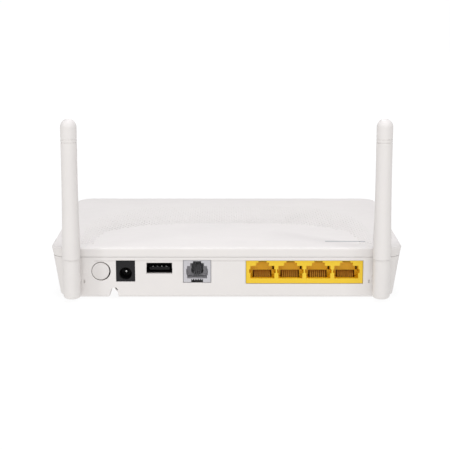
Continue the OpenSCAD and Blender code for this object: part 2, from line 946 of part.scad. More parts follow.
module heat_sink() {
    sink_w = 32;
    sink_base = 2;
    fin_h = 7;
    fin_t = 1.2;
    fins = 8;
    low = pcb_top + soc_h + thermal_pad_t;
    color(steel) {
        block(soc_place[0], soc_place[1] + sink_w / 2, low, [sink_w, sink_w, sink_base]);
        for (i = [0 : fins - 1])
            block(soc_place[0] - sink_w / 2 + fin_t / 2 + i * (sink_w - fin_t) / (fins - 1),
                soc_place[1] + sink_w / 2, low + sink_base - eps, [fin_t, sink_w, fin_h]);
    }
}

module wifi_chip() {
    chip([wifi_place[0], wifi_place[1], 9, 9, 0.9]);
}

module wifi_shield_can() {
    color(steel)
        difference() {
            block(wifi_place[0], wifi_place[1] + can_w / 2, pcb_top, [can_w, can_w, can_h]);
            block(wifi_place[0], wifi_place[1] + can_w / 2 - can_t, pcb_top - 1,
                [can_w - 2 * can_t, can_w - 2 * can_t, can_h - can_t + 1]);
        }
}

module memory_chips() {
    for (c = memories)
        chip(c);
}

module slic_chip() {
    chip(slic);
}

module lan_transformers() {
    for (x = around(lan_x, 30))
        chip([x, rear_y - 34, 25, 10, 6]);
}

module electrolytic_capacitors() {
    color(sleeve_blue)
        for (c = capacitors)
            translate([c[0], c[1], pcb_top])
                cylinder(r = c[2], h = c[3]);
}

module power_inductors() {
    for (p = inductor_places)
        chip([p[0], p[1], inductor_size[0], inductor_size[1], inductor_size[2]]);
}

module crystals() {
    color(steel)
        for (p = crystal_places)
            block(p[0], p[1] + crystal_size[1] / 2, pcb_top, crystal_size);
}

// ---------------------------------------------------------------- fibre port

module sc_adapter() {
    y = bay_front_y + adapter_out;
    mouth_w = adapter_w - 2 * adapter_wall;
    mouth_h = adapter_h - 2 * adapter_wall;
    color(apc_green)
        difference() {
            block(bay_x, y, adapter_z - adapter_h / 2, [adapter_w, adapter_l, adapter_h]);
            block(bay_x, y + 1, adapter_z - mouth_h / 2, [mouth_w, adapter_l / 2 + 1, mouth_h]);
            translate([bay_x, y - adapter_l - 1, adapter_z])
                along_y()
                    cylinder(r = ferrule_r + ferrule_wall, h = adapter_l);
        }
}

module ferrule_sleeve() {
    color(zirconia)
        translate([bay_x, bay_front_y + adapter_out - (adapter_l + sleeve_l) / 2, adapter_z])
            along_y()
                difference() {
                    cylinder(r = ferrule_r + ferrule_wall, h = sleeve_l);
                    translate([0, 0, -1])
                        cylinder(r = ferrule_r + 0.05, h = sleeve_l + 2);
                }
}

module dust_plug() {
    mouth_y = bay_front_y + adapter_out;
    body_w = adapter_w - 2 * adapter_wall - 2 * plug_clear;
    body_h = adapter_h - 2 * adapter_wall - 2 * plug_clear;
    collar_y = mouth_y + plug_clear;
    color(black) {
        block(bay_x, collar_y, adapter_z - body_h / 2, [body_w, plug_body_l, body_h]);
        block(bay_x, collar_y + plug_collar_t, adapter_z - adapter_h / 2,
            [adapter_w, plug_collar_t + eps, adapter_h]);
        block(bay_x, collar_y + plug_collar_t + plug_grip[1], adapter_z - plug_grip[2] / 2,
            [plug_grip[0], plug_grip[1] + eps, plug_grip[2]]);
    }
}

module optical_module() {
    adapter_low_y = bay_front_y + adapter_out - adapter_l;
    color(steel) {
        translate([bay_x, adapter_low_y - optics_l, adapter_z])
            along_y() {
                cylinder(r = optics_r, h = optics_l - 0.1);
                cylinder(r = ferrule_r, h = optics_l + optics_nose_l);
            }
        block(bay_x, adapter_low_y - 6, adapter_z - optics_block[2] / 2, optics_block);
    }
}

// ---------------------------------------------------------------- antennas

module antenna_sleeve(side) {
    dome_z = tip_z - sleeve_tip_r;
    bore_top = tip_z - sleeve_tip_wall;
    foot_edge = 0.3;
    color(white)
        translate([side * antenna_x, axis_y, 0])
            difference() {
                rotate_extrude()
                    polygon(concat(
                        [[0, sleeve_low_z], [sleeve_foot_r - foot_edge, sleeve_low_z],
                            [sleeve_foot_r, sleeve_low_z + foot_edge], [sleeve_foot_r, base_z + 25],
                            [sleeve_mid_r, base_z + 40], [sleeve_waist_r, base_z + 68]],
                        sleeve_groove(groove_low_z), sleeve_groove(groove_high_z),
                        [for (a = [0 : 10 : 80]) [sleeve_tip_r * cos(a), dome_z + sleeve_tip_r * sin(a)]],
                        [[0, tip_z]]));
                translate([0, 0, sleeve_low_z - 1])
                    cylinder(r = sleeve_bore_r, h = bore_top - sleeve_low_z + 1);
            }
}

// Outline points of one ring groove round the sleeve
function sleeve_groove(z) = [[sleeve_tip_r, z - groove_w / 2],
    [sleeve_tip_r - groove_depth, z - groove_w / 4],
    [sleeve_tip_r - groove_depth, z + groove_w / 4], [sleeve_tip_r, z + groove_w / 2]];

module antenna_knuckle(side) {
    round_r = 1.6;
    shoulder_r = 4.2;
    color(white)
        translate([side * antenna_x, 0, 0])
            difference() {
                union() {
                    translate([0, axis_y, 0])
                        rotate_extrude()
                            polygon(concat(
                                [[0, knuckle_low_z]],
                                [for (a = [-90 : 15 : 0]) [knuckle_r - round_r + round_r * cos(a),
                                    knuckle_low_z + round_r + round_r * sin(a)]],
                                [[knuckle_r, seam_z - 0.05], [spigot_r, seam_z - 0.05],
                                    [spigot_r, seam_z + spigot_h], [0, seam_z + spigot_h]]));
                    translate([0, rear_y + knuckle_gap, pivot_z])
                        along_y()
                            cylinder(r = shoulder_r, h = antenna_off - knuckle_gap);
                    translate([0, rear_y - boss_in, pivot_z])
                        along_y()
                            cylinder(r = boss_r, h = boss_in + 1);
                }
                clip_groove();
                translate([0, axis_y, pivot_z])
                    cylinder(r = coax_bore_r, h = 40);
                translate([0, rear_y - boss_in - 1, pivot_z])
                    along_y()
                        cylinder(r = coax_bore_r, h = boss_in + 1 + antenna_off);
            }
}

module clip_groove() {
    translate([0, clip_y - clip_t - 0.05, pivot_z])
        along_y()
            difference() {
                cylinder(r = boss_r + 1, h = clip_t + 0.1);
                translate([0, 0, -1])
                    cylinder(r = clip_groove_r, h = clip_t + 2.1);
            }
}

// Open ring that keeps the pivot from pulling out of the rear wall
module antenna_clip(side) {
    color(steel)
        translate([side * antenna_x, clip_y - clip_t, pivot_z])
            along_y()
                rotate([0, 0, side == right ? 60 : 240])
                    rotate_extrude(angle = clip_arc)
                        translate([clip_groove_r + 0.05, 0])
                            square([clip_r - clip_groove_r - 0.05, clip_t]);
}

module antenna_radiator(side) {
    color(gold)
        translate([side * antenna_x, axis_y, 0]) {
            difference() {
                translate([0, 0, radiator_low_z])
                    cylinder(r = radiator_r, h = radiator_split_z - radiator_low_z);
                translate([0, 0, radiator_low_z - 1])
                    cylinder(r = coax_r + 0.1, h = radiator_split_z - radiator_low_z - 1);
            }
            translate([0, 0, radiator_split_z - eps])
                cylinder(r = whip_r, h = radiator_top_z - radiator_split_z);
        }
}

// Lead inside the antenna: in along the pivot's axis, round one bend and up the sleeve
module antenna_coax(side) {
    color(black)
        translate([side * antenna_x, 0, 0]) {
            translate([0, rear_y - boss_in, pivot_z])
                along_y()
                    cylinder(r = coax_r, h = boss_in + antenna_off - coax_bend);
            translate([0, axis_y - coax_bend, pivot_z + coax_bend])
                rotate([0, 90, 0])
                    rotate_extrude(angle = 90)
                        translate([coax_bend, 0])
                            circle(r = coax_r);
            translate([0, axis_y, pivot_z + coax_bend])
                cylinder(r = coax_r, h = radiator_split_z - 3 - pivot_z - coax_bend);
        }
}

// Leads inside the case, from each pivot to a plug on the board
lead_places = [[left, [[76.8, 7.1, 9.6], [76.8, 11, 9.6], [77.5, 18, 11.5], [77.5, 30, 12.5],
        [76.5, 40, 12.5], [72, 48, 12.5], [68, 52, 11.5], [67, 54, 10], [67, 54, 8.6]]],
    [right, [[76.8, 7.1, 9.6], [76.8, 11, 9.6], [76.6, 17, 12.5], [75, 23, 16.2], [70, 28, 17],
        [60, 32, 17], [50, 37, 17], [42, 41, 15], [38.5, 43.5, 12], [38, 44, 10], [38, 44, 8.6]]]];
lead_sides = 8;
lead_steps = 5;
connector_r = 1.6;
connector_gap = 0.2;

function lead_point(p, side) = [side * p[0], rear_y - p[1], base_z + p[2]];
function spline(a, b, c, d, t) = 0.5 * (2 * b + (c - a) * t + (2 * a - 5 * b + 4 * c - d) * t * t
    + (3 * b - a - 3 * c + d) * t * t * t);
function smooth_path(pts) = concat(
    [for (i = [0 : len(pts) - 2], k = [0 : lead_steps - 1])
        spline(pts[max(i - 1, 0)], pts[i], pts[i + 1], pts[min(i + 2, len(pts) - 1)],
            k / lead_steps)],
    [pts[len(pts) - 1]]);
function unit(v) = v / norm(v);
function ring(centre, dir, r, up) = let (u = unit(cross(dir, up)), v = cross(u, dir))
    [for (k = [0 : lead_sides - 1]) centre + r * (cos(360 * k / lead_sides) * u
        + sin(360 * k / lead_sides) * v)];

// Round tube along a path; the path never runs parallel to up
module tube(path, r, up) {
    n = len(path);
    rings = [for (i = [0 : n - 1]) each ring(path[i],
        unit(path[min(i + 1, n - 1)] - path[max(i - 1, 0)]), r, up)];
    sides = [for (i = [0 : n - 2], k = [0 : lead_sides - 1])
        let (a = i * lead_sides + k, b = i * lead_sides + (k + 1) % lead_sides)
            [a, b, b + lead_sides, a + lead_sides]];
    caps = [[for (k = [lead_sides - 1 : -1 : 0]) k],
        [for (k = [0 : lead_sides - 1]) (n - 1) * lead_sides + k]];
    polyhedron(points = rings, faces = concat(sides, caps), convexity = 4);
}

module antenna_lead(side) {
    place = side == left ? lead_places[0] : lead_places[1];
    color(black)
        tube(smooth_path([for (p = place[1]) lead_point(p, place[0])]), coax_r, [0.98, 0.05, 0.2]);
}

module antenna_connectors() {
    color(gold)
        for (place = lead_places) {
            p = lead_point(place[1][len(place[1]) - 1], place[0]);
            translate([p[0], p[1], pcb_top])
                cylinder(r = connector_r, h = p[2] - pcb_top - connector_gap);
        }
}

top_cover();
base_shell();
rubber_feet();
case_screws();
rating_label();
led_light_guide();
status_leds();
power_button_cap();
power_switch_plunger();
power_switch_body();
side_button_cap(wlan_y);  // wlan_button_cap
side_button_cap(wps_y);  // wps_button_cap
switch_plunger(wlan_y);  // wlan_switch_plunger
switch_plunger(wps_y);  // wps_switch_plunger
switch_plunger(reset_y);  // reset_plunger
side_switch_bodies();
dc_jack_housing();
dc_jack_pin();
dc_jack_terminals();
usb_shell();
usb_tongue();
usb_contacts();
usb_riser();
phone_jack_housing();
phone_jack_contacts();
lan_jack_block();
lan_jack_contacts();
main_pcb();
pcb_screws();
soc_chip();
thermal_pad();
heat_sink();
wifi_chip();
wifi_shield_can();
memory_chips();
slic_chip();
lan_transformers();
electrolytic_capacitors();
power_inductors();
crystals();
optical_module();
sc_adapter();
ferrule_sleeve();
dust_plug();
antenna_sleeve(left);  // antenna_left_sleeve
antenna_knuckle(left);  // antenna_left_knuckle
antenna_clip(left);  // antenna_left_clip
antenna_radiator(left);  // antenna_left_radiator
antenna_coax(left);  // antenna_left_coax
antenna_sleeve(right);  // antenna_right_sleeve
antenna_knuckle(right);  // antenna_right_knuckle
antenna_clip(right);  // antenna_right_clip
antenna_radiator(right);  // antenna_right_radiator
antenna_coax(right);  // antenna_right_coax
antenna_lead(left);  // antenna_lead_left
antenna_lead(right);  // antenna_lead_right
antenna_connectors();
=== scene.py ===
"""Looks of a white optical network terminal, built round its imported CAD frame.

Lengths are in metres. +Z is up, the sockets face +Y, and the camera looks at them.
"""

import json
import math

import bmesh
import bpy
from mathutils import Matrix, Vector

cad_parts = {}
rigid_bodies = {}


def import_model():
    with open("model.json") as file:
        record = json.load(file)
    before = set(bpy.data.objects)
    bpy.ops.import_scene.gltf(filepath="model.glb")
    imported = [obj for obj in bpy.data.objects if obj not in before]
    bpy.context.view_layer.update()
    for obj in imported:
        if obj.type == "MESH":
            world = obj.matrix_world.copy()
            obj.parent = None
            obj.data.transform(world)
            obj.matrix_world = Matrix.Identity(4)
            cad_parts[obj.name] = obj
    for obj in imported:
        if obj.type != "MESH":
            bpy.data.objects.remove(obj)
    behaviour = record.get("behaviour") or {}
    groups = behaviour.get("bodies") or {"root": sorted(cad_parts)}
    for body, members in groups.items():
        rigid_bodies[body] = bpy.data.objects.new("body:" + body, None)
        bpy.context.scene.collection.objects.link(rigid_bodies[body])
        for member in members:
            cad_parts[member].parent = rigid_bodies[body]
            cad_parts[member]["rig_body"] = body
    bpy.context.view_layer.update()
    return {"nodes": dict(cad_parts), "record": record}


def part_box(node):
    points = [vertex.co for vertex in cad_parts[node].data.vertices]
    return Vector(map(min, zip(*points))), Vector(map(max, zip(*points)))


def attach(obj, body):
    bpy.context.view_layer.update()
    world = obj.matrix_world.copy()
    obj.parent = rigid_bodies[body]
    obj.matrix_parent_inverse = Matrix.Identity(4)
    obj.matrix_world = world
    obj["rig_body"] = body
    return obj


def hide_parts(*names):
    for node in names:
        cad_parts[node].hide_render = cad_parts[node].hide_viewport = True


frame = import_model()
MM = 0.001


# ------------------------------------------------------------------ sizes, from the frame
def islands(node):
    """The box of each separate solid in a CAD node, ordered by x, then y."""
    bm = bmesh.new()
    bm.from_mesh(frame["nodes"][node].data)
    bmesh.ops.remove_doubles(bm, verts=bm.verts, dist=1e-6)
    left, boxes = set(bm.verts), []
    while left:
        found, waiting = set(), [left.pop()]
        while waiting:
            vert = waiting.pop()
            found.add(vert)
            near = {edge.other_vert(vert) for edge in vert.link_edges} & left
            left -= near
            waiting.extend(near)
        low = Vector([min(v.co[k] for v in found) for k in range(3)])
        high = Vector([max(v.co[k] for v in found) for k in range(3)])
        boxes.append((low, high))
    bm.free()
    return sorted(boxes, key=lambda b: (round(b[0].x, 5), b[0].y))


def middle(box):
    return (box[0] + box[1]) / 2


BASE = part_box("base_shell")
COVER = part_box("top_cover")
REAR = BASE[1].y
FRONT = COVER[0].y
MID_Y = (REAR + FRONT) / 2
HALF_W = COVER[1].x
HALF_D = (REAR - FRONT) / 2
UNDERSIDE = BASE[0].z
BASE_RIM = UNDERSIDE + 20.4 * MM
TOP = COVER[1].z
SEAM_GAP = 0.14 * MM
COVER_LOW = BASE_RIM + SEAM_GAP
EDGE = UNDERSIDE + 25.2 * MM
CROWN = TOP - EDGE
SEAM_INSET = 0.9 * MM
CORNER_R = 9 * MM
COVER_WALL = 1.6 * MM
OVERLAP = 0.05 * MM


# ------------------------------------------------------------------ mesh tools
def new_object(name, bm):
    mesh = bpy.data.meshes.new(name)
    bm.to_mesh(mesh)
    bm.free()
    obj = bpy.data.objects.new(name, mesh)
    bpy.context.scene.collection.objects.link(obj)
    return obj


def smooth(obj, angle=35):
    """Smooth shading with crisp edges where the surface turns sharply."""
    bm = bmesh.new()
    bm.from_mesh(obj.data)
    for face in bm.faces:
        face.smooth = True
    for edge in bm.edges:
        edge.smooth = edge.calc_face_angle(math.pi) < math.radians(angle)
    bm.to_mesh(obj.data)
    bm.free()
    return obj


def with_modifiers_applied(obj):
    graph = bpy.context.evaluated_depsgraph_get()
    mesh = bpy.data.meshes.new_from_object(obj.evaluated_get(graph))
    obj.modifiers.clear()
    obj.data = mesh
    return obj


def combine(obj, bm, operation):
    """Adds the solids in bm to obj (UNION) or takes them away (DIFFERENCE).

    The solids in one bm must not overlap each other.
    """
    tool = new_object("tool", bm)
    step = obj.modifiers.new("combine", "BOOLEAN")
    step.object = tool
    step.operation = operation
    step.solver = "MANIFOLD"
    with_modifiers_applied(obj)
    bpy.data.objects.remove(tool)
    join_flat(obj)


def join_flat(obj):
    """Joins up the facets that lie on one plane."""
    bm = bmesh.new()
    bm.from_mesh(obj.data)
    bmesh.ops.remove_doubles(bm, verts=bm.verts, dist=1e-6)
    bmesh.ops.dissolve_limit(bm, angle_limit=math.radians(0.5), verts=bm.verts, edges=bm.edges)
    bm.to_mesh(obj.data)
    bm.free()


def add_bevel(obj, width, segments=2, angle=30):
    bevel = obj.modifiers.new("bevel", "BEVEL")
    bevel.width = width
    bevel.segments = segments
    bevel.limit_method = "ANGLE"
    bevel.angle_limit = math.radians(angle)
    bevel.harden_normals = True
    return obj


def add_box(bm, low, high):
    size = [b - a for a, b in zip(low, high)]
    place = Matrix.Translation([(a + b) / 2 for a, b in zip(low, high)])
    bmesh.ops.create_cube(bm, size=1, matrix=place @ Matrix.Diagonal((*size, 1)))


def add_prism(bm, outline, start, end):
    """A solid whose outline lists (x, z) points, reaching along Y from start to end."""
    rings = [[bm.verts.new((x, y, z)) for x, z in outline] for y in (start, end)]
    faces = [bm.faces.new(ring) for ring in rings] + bridge(bm, rings)
    bmesh.ops.recalc_face_normals(bm, faces=faces)


def stepped_outline(x, steps, top):
    """Outline, even about x, of stacked slabs; steps lists each slab's (half width, underside)."""
    side = []
    for k, (half, low) in enumerate(steps):
        high = steps[k + 1][1] if k + 1 < len(steps) else top
        side += [(half, low), (half, high)]
    return [(x + half, z) for half, z in side] + [(x - half, z) for half, z in side[::-1]]


def add_turned(bm, profile, place=(0, 0, 0), axis="Z", segments=64):
    """A solid turned about an axis through place; profile lists its (radius, distance) points."""
    turn = {"Z": Matrix.Identity(4), "Y": Matrix.Rotation(math.radians(-90), 4, "X"),
            "X": Matrix.Rotation(math.radians(90), 4, "Y")}[axis]
    to_place = Matrix.Translation(place) @ turn
    rings = []
    for radius, along in profile:
        count = segments if radius > 1e-7 else 1
        angles = [2 * math.pi * k / segments for k in range(count)]
        points = [Vector((radius * math.cos(a), radius * math.sin(a), along)) for a in angles]
        rings.append([bm.verts.new(to_place @ point) for point in points])
    bmesh.ops.recalc_face_normals(bm, faces=bridge(bm, rings))


def bridge(bm, rings):
    """Faces between neighbouring closed rings; a ring of one point is the tip of a fan."""
    faces = []
    for low, high in zip(rings, rings[1:]):
        for k in range(max(len(low), len(high))):
            corners = [low[k % len(low)], low[(k + 1) % len(low)],
                       high[(k + 1) % len(high)], high[k % len(high)]]
            corners = list(dict.fromkeys(corners))
            if len(corners) > 2:
                faces.append(bm.faces.new(corners))
    return faces


def turned(name, profile, place, axis="Z", segments=64):
    bm = bmesh.new()
    add_turned(bm, profile, place, axis, segments)
    return new_object(name, bm)


def cad_copy(node):
    """A new object with the CAD node's shape."""
    bm = bmesh.new()
    bm.from_mesh(frame["nodes"][node].data)
    copy = new_object(node + ".look", bm)
    join_flat(copy)
    return copy


def dress(obj, slot, node, surface=None):
    """Gives a finished piece its material, and lets it ride on the CAD node's body."""
    obj.data.materials.clear()
    obj.data.materials.append((surface or SURFACES[slot]).material)
    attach(obj, frame["nodes"][node]["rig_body"])


def settle(obj, slot, node, surface=None):
    """Dresses a piece that stands for a CAD node."""
    dress(obj, slot, node, surface)
    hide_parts(node)


# ------------------------------------------------------------------ materials
class Surface:
    """A Principled material, with the nodes that most materials here share."""

    def __init__(self, name, color, roughness, metallic=0.0):
        self.material = bpy.data.materials.new(name)
        self.material.use_nodes = True
        self.tree = self.material.node_tree
        self.shader = self.tree.nodes["Principled BSDF"]
        self.color = color
        self.set("Base Color", (*color, 1))
        self.set("Roughness", roughness)
        self.set("Metallic", metallic)
        self.place = self.node("ShaderNodeTexCoord").outputs["Object"]

    def set(self, socket, value):
        self.shader.inputs[socket].default_value = value

    def feed(self, value, socket):
        self.link(value, self.shader.inputs[socket])

    def node(self, kind, **values):
        made = self.tree.nodes.new(kind)
        for key, value in values.items():
            setattr(made, key, value)
        return made

    def link(self, start, end):
        self.tree.links.new(start, end)

    def noise(self, size, detail=2.0, place=None):
        """Noise with blobs of about this size."""
        made = self.node("ShaderNodeTexNoise")
        made.inputs["Scale"].default_value = 1 / size
        made.inputs["Detail"].default_value = detail
        self.link(place or self.place, made.inputs["Vector"])
        return made.outputs["Fac"]

    def remap(self, value, low, high, from_low=0.3, from_high=0.7):
        made = self.node("ShaderNodeMapRange")
        for key, number in zip(("From Min", "From Max", "To Min", "To Max"),
                               (from_low, from_high, low, high)):
            made.inputs[key].default_value = number
        self.link(value, made.inputs["Value"])
        return made.outputs["Result"]

    def mix(self, factor, a, b):
        made = self.node("ShaderNodeMix", data_type="RGBA")
        self.link(factor, made.inputs["Factor"])
        for key, value in (("A_Color", a), ("B_Color", b)):
            socket = next(s for s in made.inputs if s.identifier == key)
            if isinstance(value, tuple):
                socket.default_value = (*value, 1)
            else:
                self.link(value, socket)
        return next(s for s in made.outputs if s.identifier == "Result_Color")

    def vary_color(self, size, amount):
        """Slightly darker clouds in the colour."""
        darker = tuple(c * (1 - amount) for c in self.color)
        mixed = self.mix(self.remap(self.noise(size, 4), 0, 1), darker, self.color)
        self.feed(mixed, "Base Color")
        return mixed

    def vary_roughness(self, size, low, high):
        self.feed(self.remap(self.noise(size, 3), low, high), "Roughness")

    def bump(self, heights, distance):
        made = self.node("ShaderNodeBump")
        made.inputs["Distance"].default_value = distance
        self.link(heights, made.inputs["Height"])
        self.feed(made.outputs["Normal"], "Normal")


def moulded(name, color, roughness, shine=0.5, grain=0.25 * MM, depth=0.005 * MM):
    """Injection-moulded plastic: fine spark-eroded grain and an uneven sheen."""
    surface = Surface(name, color, roughness)
    surface.set("Specular IOR Level", shine)
    surface.vary_color(14 * MM, 0.02)
    surface.vary_roughness(5 * MM, roughness - 0.06, roughness + 0.06)
    surface.bump(surface.noise(grain, 3), depth)
    return surface


def plated(name, color, roughness):
    """Plated sheet metal with fine rolling lines along X."""
    surface = Surface(name, color, roughness, metallic=1.0)
    stretch = surface.node("ShaderNodeMapping")
    stretch.inputs["Scale"].default_value = (0.06, 1, 1)
    surface.link(surface.place, stretch.inputs["Vector"])
    lines = surface.noise(0.12 * MM, 3, stretch.outputs["Vector"])
    surface.vary_color(3 * MM, 0.12)
    surface.feed(surface.remap(lines, roughness - 0.08, roughness + 0.12), "Roughness")
    surface.bump(lines, 0.003 * MM)
    return surface


def moulded_with_painted_depth_shading(name, color, painted_shading, roughness, shine):
    """Moulded plastic with painted light and shade by depth; painted_shading lists (colour, span of
    depth).
    """
    surface = moulded(name, color, roughness, shine)
    parts = surface.node("ShaderNodeSeparateXYZ")
    surface.link(surface.place, parts.inputs["Vector"])
    for painted_color, (start, end) in painted_shading:
        depth = surface.remap(parts.outputs["Y"], 1, 0, REAR - end, REAR - start)
        before = surface.shader.inputs["Base Color"].links[0].from_socket
        surface.feed(surface.mix(depth, before, painted_color), "Base Color")
    return surface


def rubber(name, color):
    surface = Surface(name, color, 0.8)
    surface.vary_color(4 * MM, 0.2)
    surface.vary_roughness(2 * MM, 0.7, 0.9)
    surface.bump(surface.noise(0.15 * MM, 4), 0.015 * MM)
    return surface


def clear(name, color):
    surface = Surface(name, color, 0.18)
    surface.set("Transmission Weight", 0.6)
    surface.set("IOR", 1.49)
    surface.vary_color(3 * MM, 0.05)
    surface.vary_roughness(1.5 * MM, 0.12, 0.28)
    surface.bump(surface.noise(0.8 * MM, 2), 0.004 * MM)
    return surface


def board(name, color):
    """Solder resist over copper tracks."""
    surface = Surface(name, color, 0.35)
    cells = surface.node("ShaderNodeTexVoronoi", feature="DISTANCE_TO_EDGE")
    cells.inputs["Scale"].default_value = 1 / (4 * MM)
    surface.link(surface.place, cells.inputs["Vector"])
    tracks = surface.remap(cells.outputs["Distance"], 1, 0, 0.05, 0.09)
    copper = (color[0] * 2.2, color[1] * 1.7, color[2] * 1.6)
    surface.feed(surface.mix(tracks, color, copper), "Base Color")
    surface.vary_roughness(2 * MM, 0.28, 0.42)
    surface.bump(tracks, 0.03 * MM)
    return surface


def printed_mark(surface, low, high, ink):
    """A plain printed bar on the top face, between two corners."""
    parts = surface.node("ShaderNodeSeparateXYZ")
    surface.link(surface.place, parts.inputs["Vector"])
    inside = None
    for axis, a, b in (("X", low[0], high[0]), ("Y", low[1], high[1]), ("Z", EDGE, TOP + MM)):
        centred = surface.node("ShaderNodeMath", operation="COMPARE")
        surface.link(parts.outputs[axis], centred.inputs[0])
        centred.inputs[1].default_value = (a + b) / 2
        centred.inputs[2].default_value = (b - a) / 2
        here = centred.outputs["Value"]
        if inside is not None:
            both = surface.node("ShaderNodeMath", operation="MULTIPLY")
            surface.link(inside, both.inputs[0])
            surface.link(here, both.inputs[1])
            here = both.outputs["Value"]
        inside = here
    plain = surface.shader.inputs["Base Color"].links[0].from_socket
    surface.feed(surface.mix(inside, plain, ink), "Base Color")


WHITE = (0.72, 0.69, 0.67)
WHITE_ROUGHNESS = 0.5
WHITE_SHINE = 0.3
# Painted shade: the grey turns dark deeper than 8.2 mm behind the rear face.
GREY_PAINTED_SHADE = [((0.30, 0.30, 0.31), (8.2 * MM, 9 * MM))]
# Painted light and shade: the yellow turns a brighter, deeper orange inside the mouths (painted glow),
# then dark brown deep in the recesses behind the wires (painted shade).
YELLOW_PAINTED_LIGHT_AND_SHADE = [((0.90, 0.55, 0.01), (0.6 * MM, 2.5 * MM)), ((0.44, 0.16, 0.005), (8.4 * MM, 9 * MM))]
SURFACES = {
    "white_plastic": moulded("white_plastic", WHITE, WHITE_ROUGHNESS, WHITE_SHINE),
    "button_plastic": moulded("button_plastic", (0.68, 0.65, 0.63), 0.42, WHITE_SHINE),
    "black_plastic": moulded("black_plastic", (0.012, 0.0115, 0.0128), 0.5, 0.2),
    "grey_plastic": moulded_with_painted_depth_shading("grey_plastic", (0.51, 0.50, 0.52), GREY_PAINTED_SHADE, 0.45, 0.3),
    "yellow_plastic": moulded_with_painted_depth_shading("yellow_plastic", (0.79, 0.525, 0.025), YELLOW_PAINTED_LIGHT_AND_SHADE, 0.4, 0.35),
    "clear_plastic": clear("clear_plastic", (0.88, 0.92, 0.96)),
    "green_plastic": moulded("green_plastic", (0.03, 0.36, 0.12), 0.36),
    "nickel_steel": plated("nickel_steel", (0.66, 0.65, 0.63), 0.3),
    "screw_steel": plated("screw_steel", (0.55, 0.55, 0.56), 0.36),
    "gold_plate": plated("gold_plate", (0.83, 0.60, 0.24), 0.3),
    "board": board("board", (0.02, 0.16, 0.06)),
    "chip_plastic": moulded("chip_plastic", (0.03, 0.03, 0.032), 0.6),
    "aluminium": plated("aluminium", (0.72, 0.73, 0.75), 0.4),
    "thermal_rubber": rubber("thermal_rubber", (0.30, 0.36, 0.50)),
    "foot_rubber": rubber("foot_rubber", (0.12, 0.12, 0.125)),
    "label_paper": moulded("label_paper", (0.78, 0.78, 0.78), 0.5),
    "ceramic": moulded("ceramic", (0.85, 0.85, 0.82), 0.2),
    "capacitor_sleeve": moulded("capacitor_sleeve", (0.02, 0.03, 0.08), 0.3),
    "coax_jacket": moulded("coax_jacket", (0.04, 0.04, 0.042), 0.5),
}
# Near-black copy of the plated steel, for the USB shell: painted shade for the dark inside of its
# socket.
PAINTED_SHADE_BLACK_STEEL = plated("painted_shade_black_steel", (0.03, 0.03, 0.032), 0.45)
# Darkened copy of the plated steel, for the telephone wires: painted shade.
PAINTED_SHADE_STEEL = plated("painted_shade_steel", (0.22, 0.22, 0.23), 0.45)
# Darkened copy of the gold plate, for the network sockets' wires: painted shade.
PAINTED_SHADE_GOLD = plated("painted_shade_gold", (0.48, 0.22, 0.03), 0.4)
# Lighter copy of the plated steel, for the USB contacts and the inlet's pin: real metal with a painted
# glint.
PAINTED_GLINT_STEEL = plated("painted_glint_steel", (0.88, 0.87, 0.85), 0.3)
MARK_X = (-70.3 * MM, -50 * MM)
MARK_Y = (REAR - 15 * MM, REAR - 13 * MM)
INK = (0.40, 0.40, 0.41)
PRINTED_WHITE = moulded("printed_white_plastic", WHITE, WHITE_ROUGHNESS, WHITE_SHINE)
printed_mark(PRINTED_WHITE, (MARK_X[0], MARK_Y[0]), (MARK_X[1], MARK_Y[1]), INK)

# ------------------------------------------------------------------ top cover
ARC_STEPS = 10
SIDE_STEPS = (24, 30)
EDGE_ROUND = 1.0 * MM
EDGE_STEPS = 6
LIP_ROUND = 0.08 * MM
SHOULDER_DROP = 1.2 * MM
SHOULDER_INSET = 0.32 * MM
CROWN_POWER = 2.6
TOP_RINGS = 14
RING_SPREAD = 1.15
VENT_PITCH = (2.7 * MM, 2.3 * MM)
VENT_R = (0.30 * MM, 0.62 * MM)
VENT_CHAMFER = 0.1 * MM
VENT_CUT = 4 * MM
DOME = (67 * MM, 56 * MM)
FIELD = (76 * MM, 110 * MM)
FIELD_SQUARENESS = 3.6
VENT_FROM_REAR = 9 * MM
WINDOW_H = 1.2 * MM
WINDOW_W = 5 * MM
WINDOW_CLEAR = 0.1 * MM
WINDOW_DEPTH = 3 * MM
TOWER_R = 3.6 * MM
TOWER_BORE_R = 1.45 * MM
TOWER_BORE_DEPTH = 9 * MM


def case_outline(side, front, rear, radius):
    """Points round the case, counter-clockwise, moved in from its sides, front and rear."""
    x = HALF_W - side - radius
    y_low = FRONT + front + radius
    y_high = REAR - rear - radius
    centres = [(x, y_low), (x, y_high), (-x, y_high), (-x, y_low)]
    points = []
    for k, centre in enumerate(centres):
        start = (k - 1) * math.pi / 2
        for step in range(ARC_STEPS):
            a = start + math.pi / 2 * step / ARC_STEPS
            place = (centre[0] + radius * math.cos(a), centre[1] + radius * math.sin(a))
            points.append(Vector(place))
        end = Vector((math.cos(start + math.pi / 2), math.sin(start + math.pi / 2))) * radius
        here, there = (Vector(c) + end for c in (centre, centres[(k + 1) % 4]))
        steps = SIDE_STEPS[(k + 1) % 2]
        points += [here.lerp(there, step / steps) for step in range(steps)]
    return points


def crown_height(x, y):
    """Height of the gently crowned top at a place."""
    u = min(abs(x) / (HALF_W - EDGE_ROUND), 1)
    v = min(abs(y - MID_Y) / (HALF_D - EDGE_ROUND), 1)
    return EDGE + CROWN * (1 - u ** CROWN_POWER) * (1 - v ** CROWN_POWER)


def cover_slices():
    """(height, inset of the sides, inset of the rear) up the cover's outer wall."""
    slices = [(COVER_LOW, SEAM_INSET + LIP_ROUND, LIP_ROUND), (COVER_LOW + LIP_ROUND, SEAM_INSET, 0)]
    slices += [(EDGE - EDGE_ROUND - SHOULDER_DROP, SHOULDER_INSET, 0)]
    for step in range(EDGE_STEPS + 1):
        a = math.pi / 2 * step / EDGE_STEPS
        moved = EDGE_ROUND * (1 - math.cos(a))
        slices.append((EDGE - EDGE_ROUND + EDGE_ROUND * math.sin(a), moved, moved))
    return slices


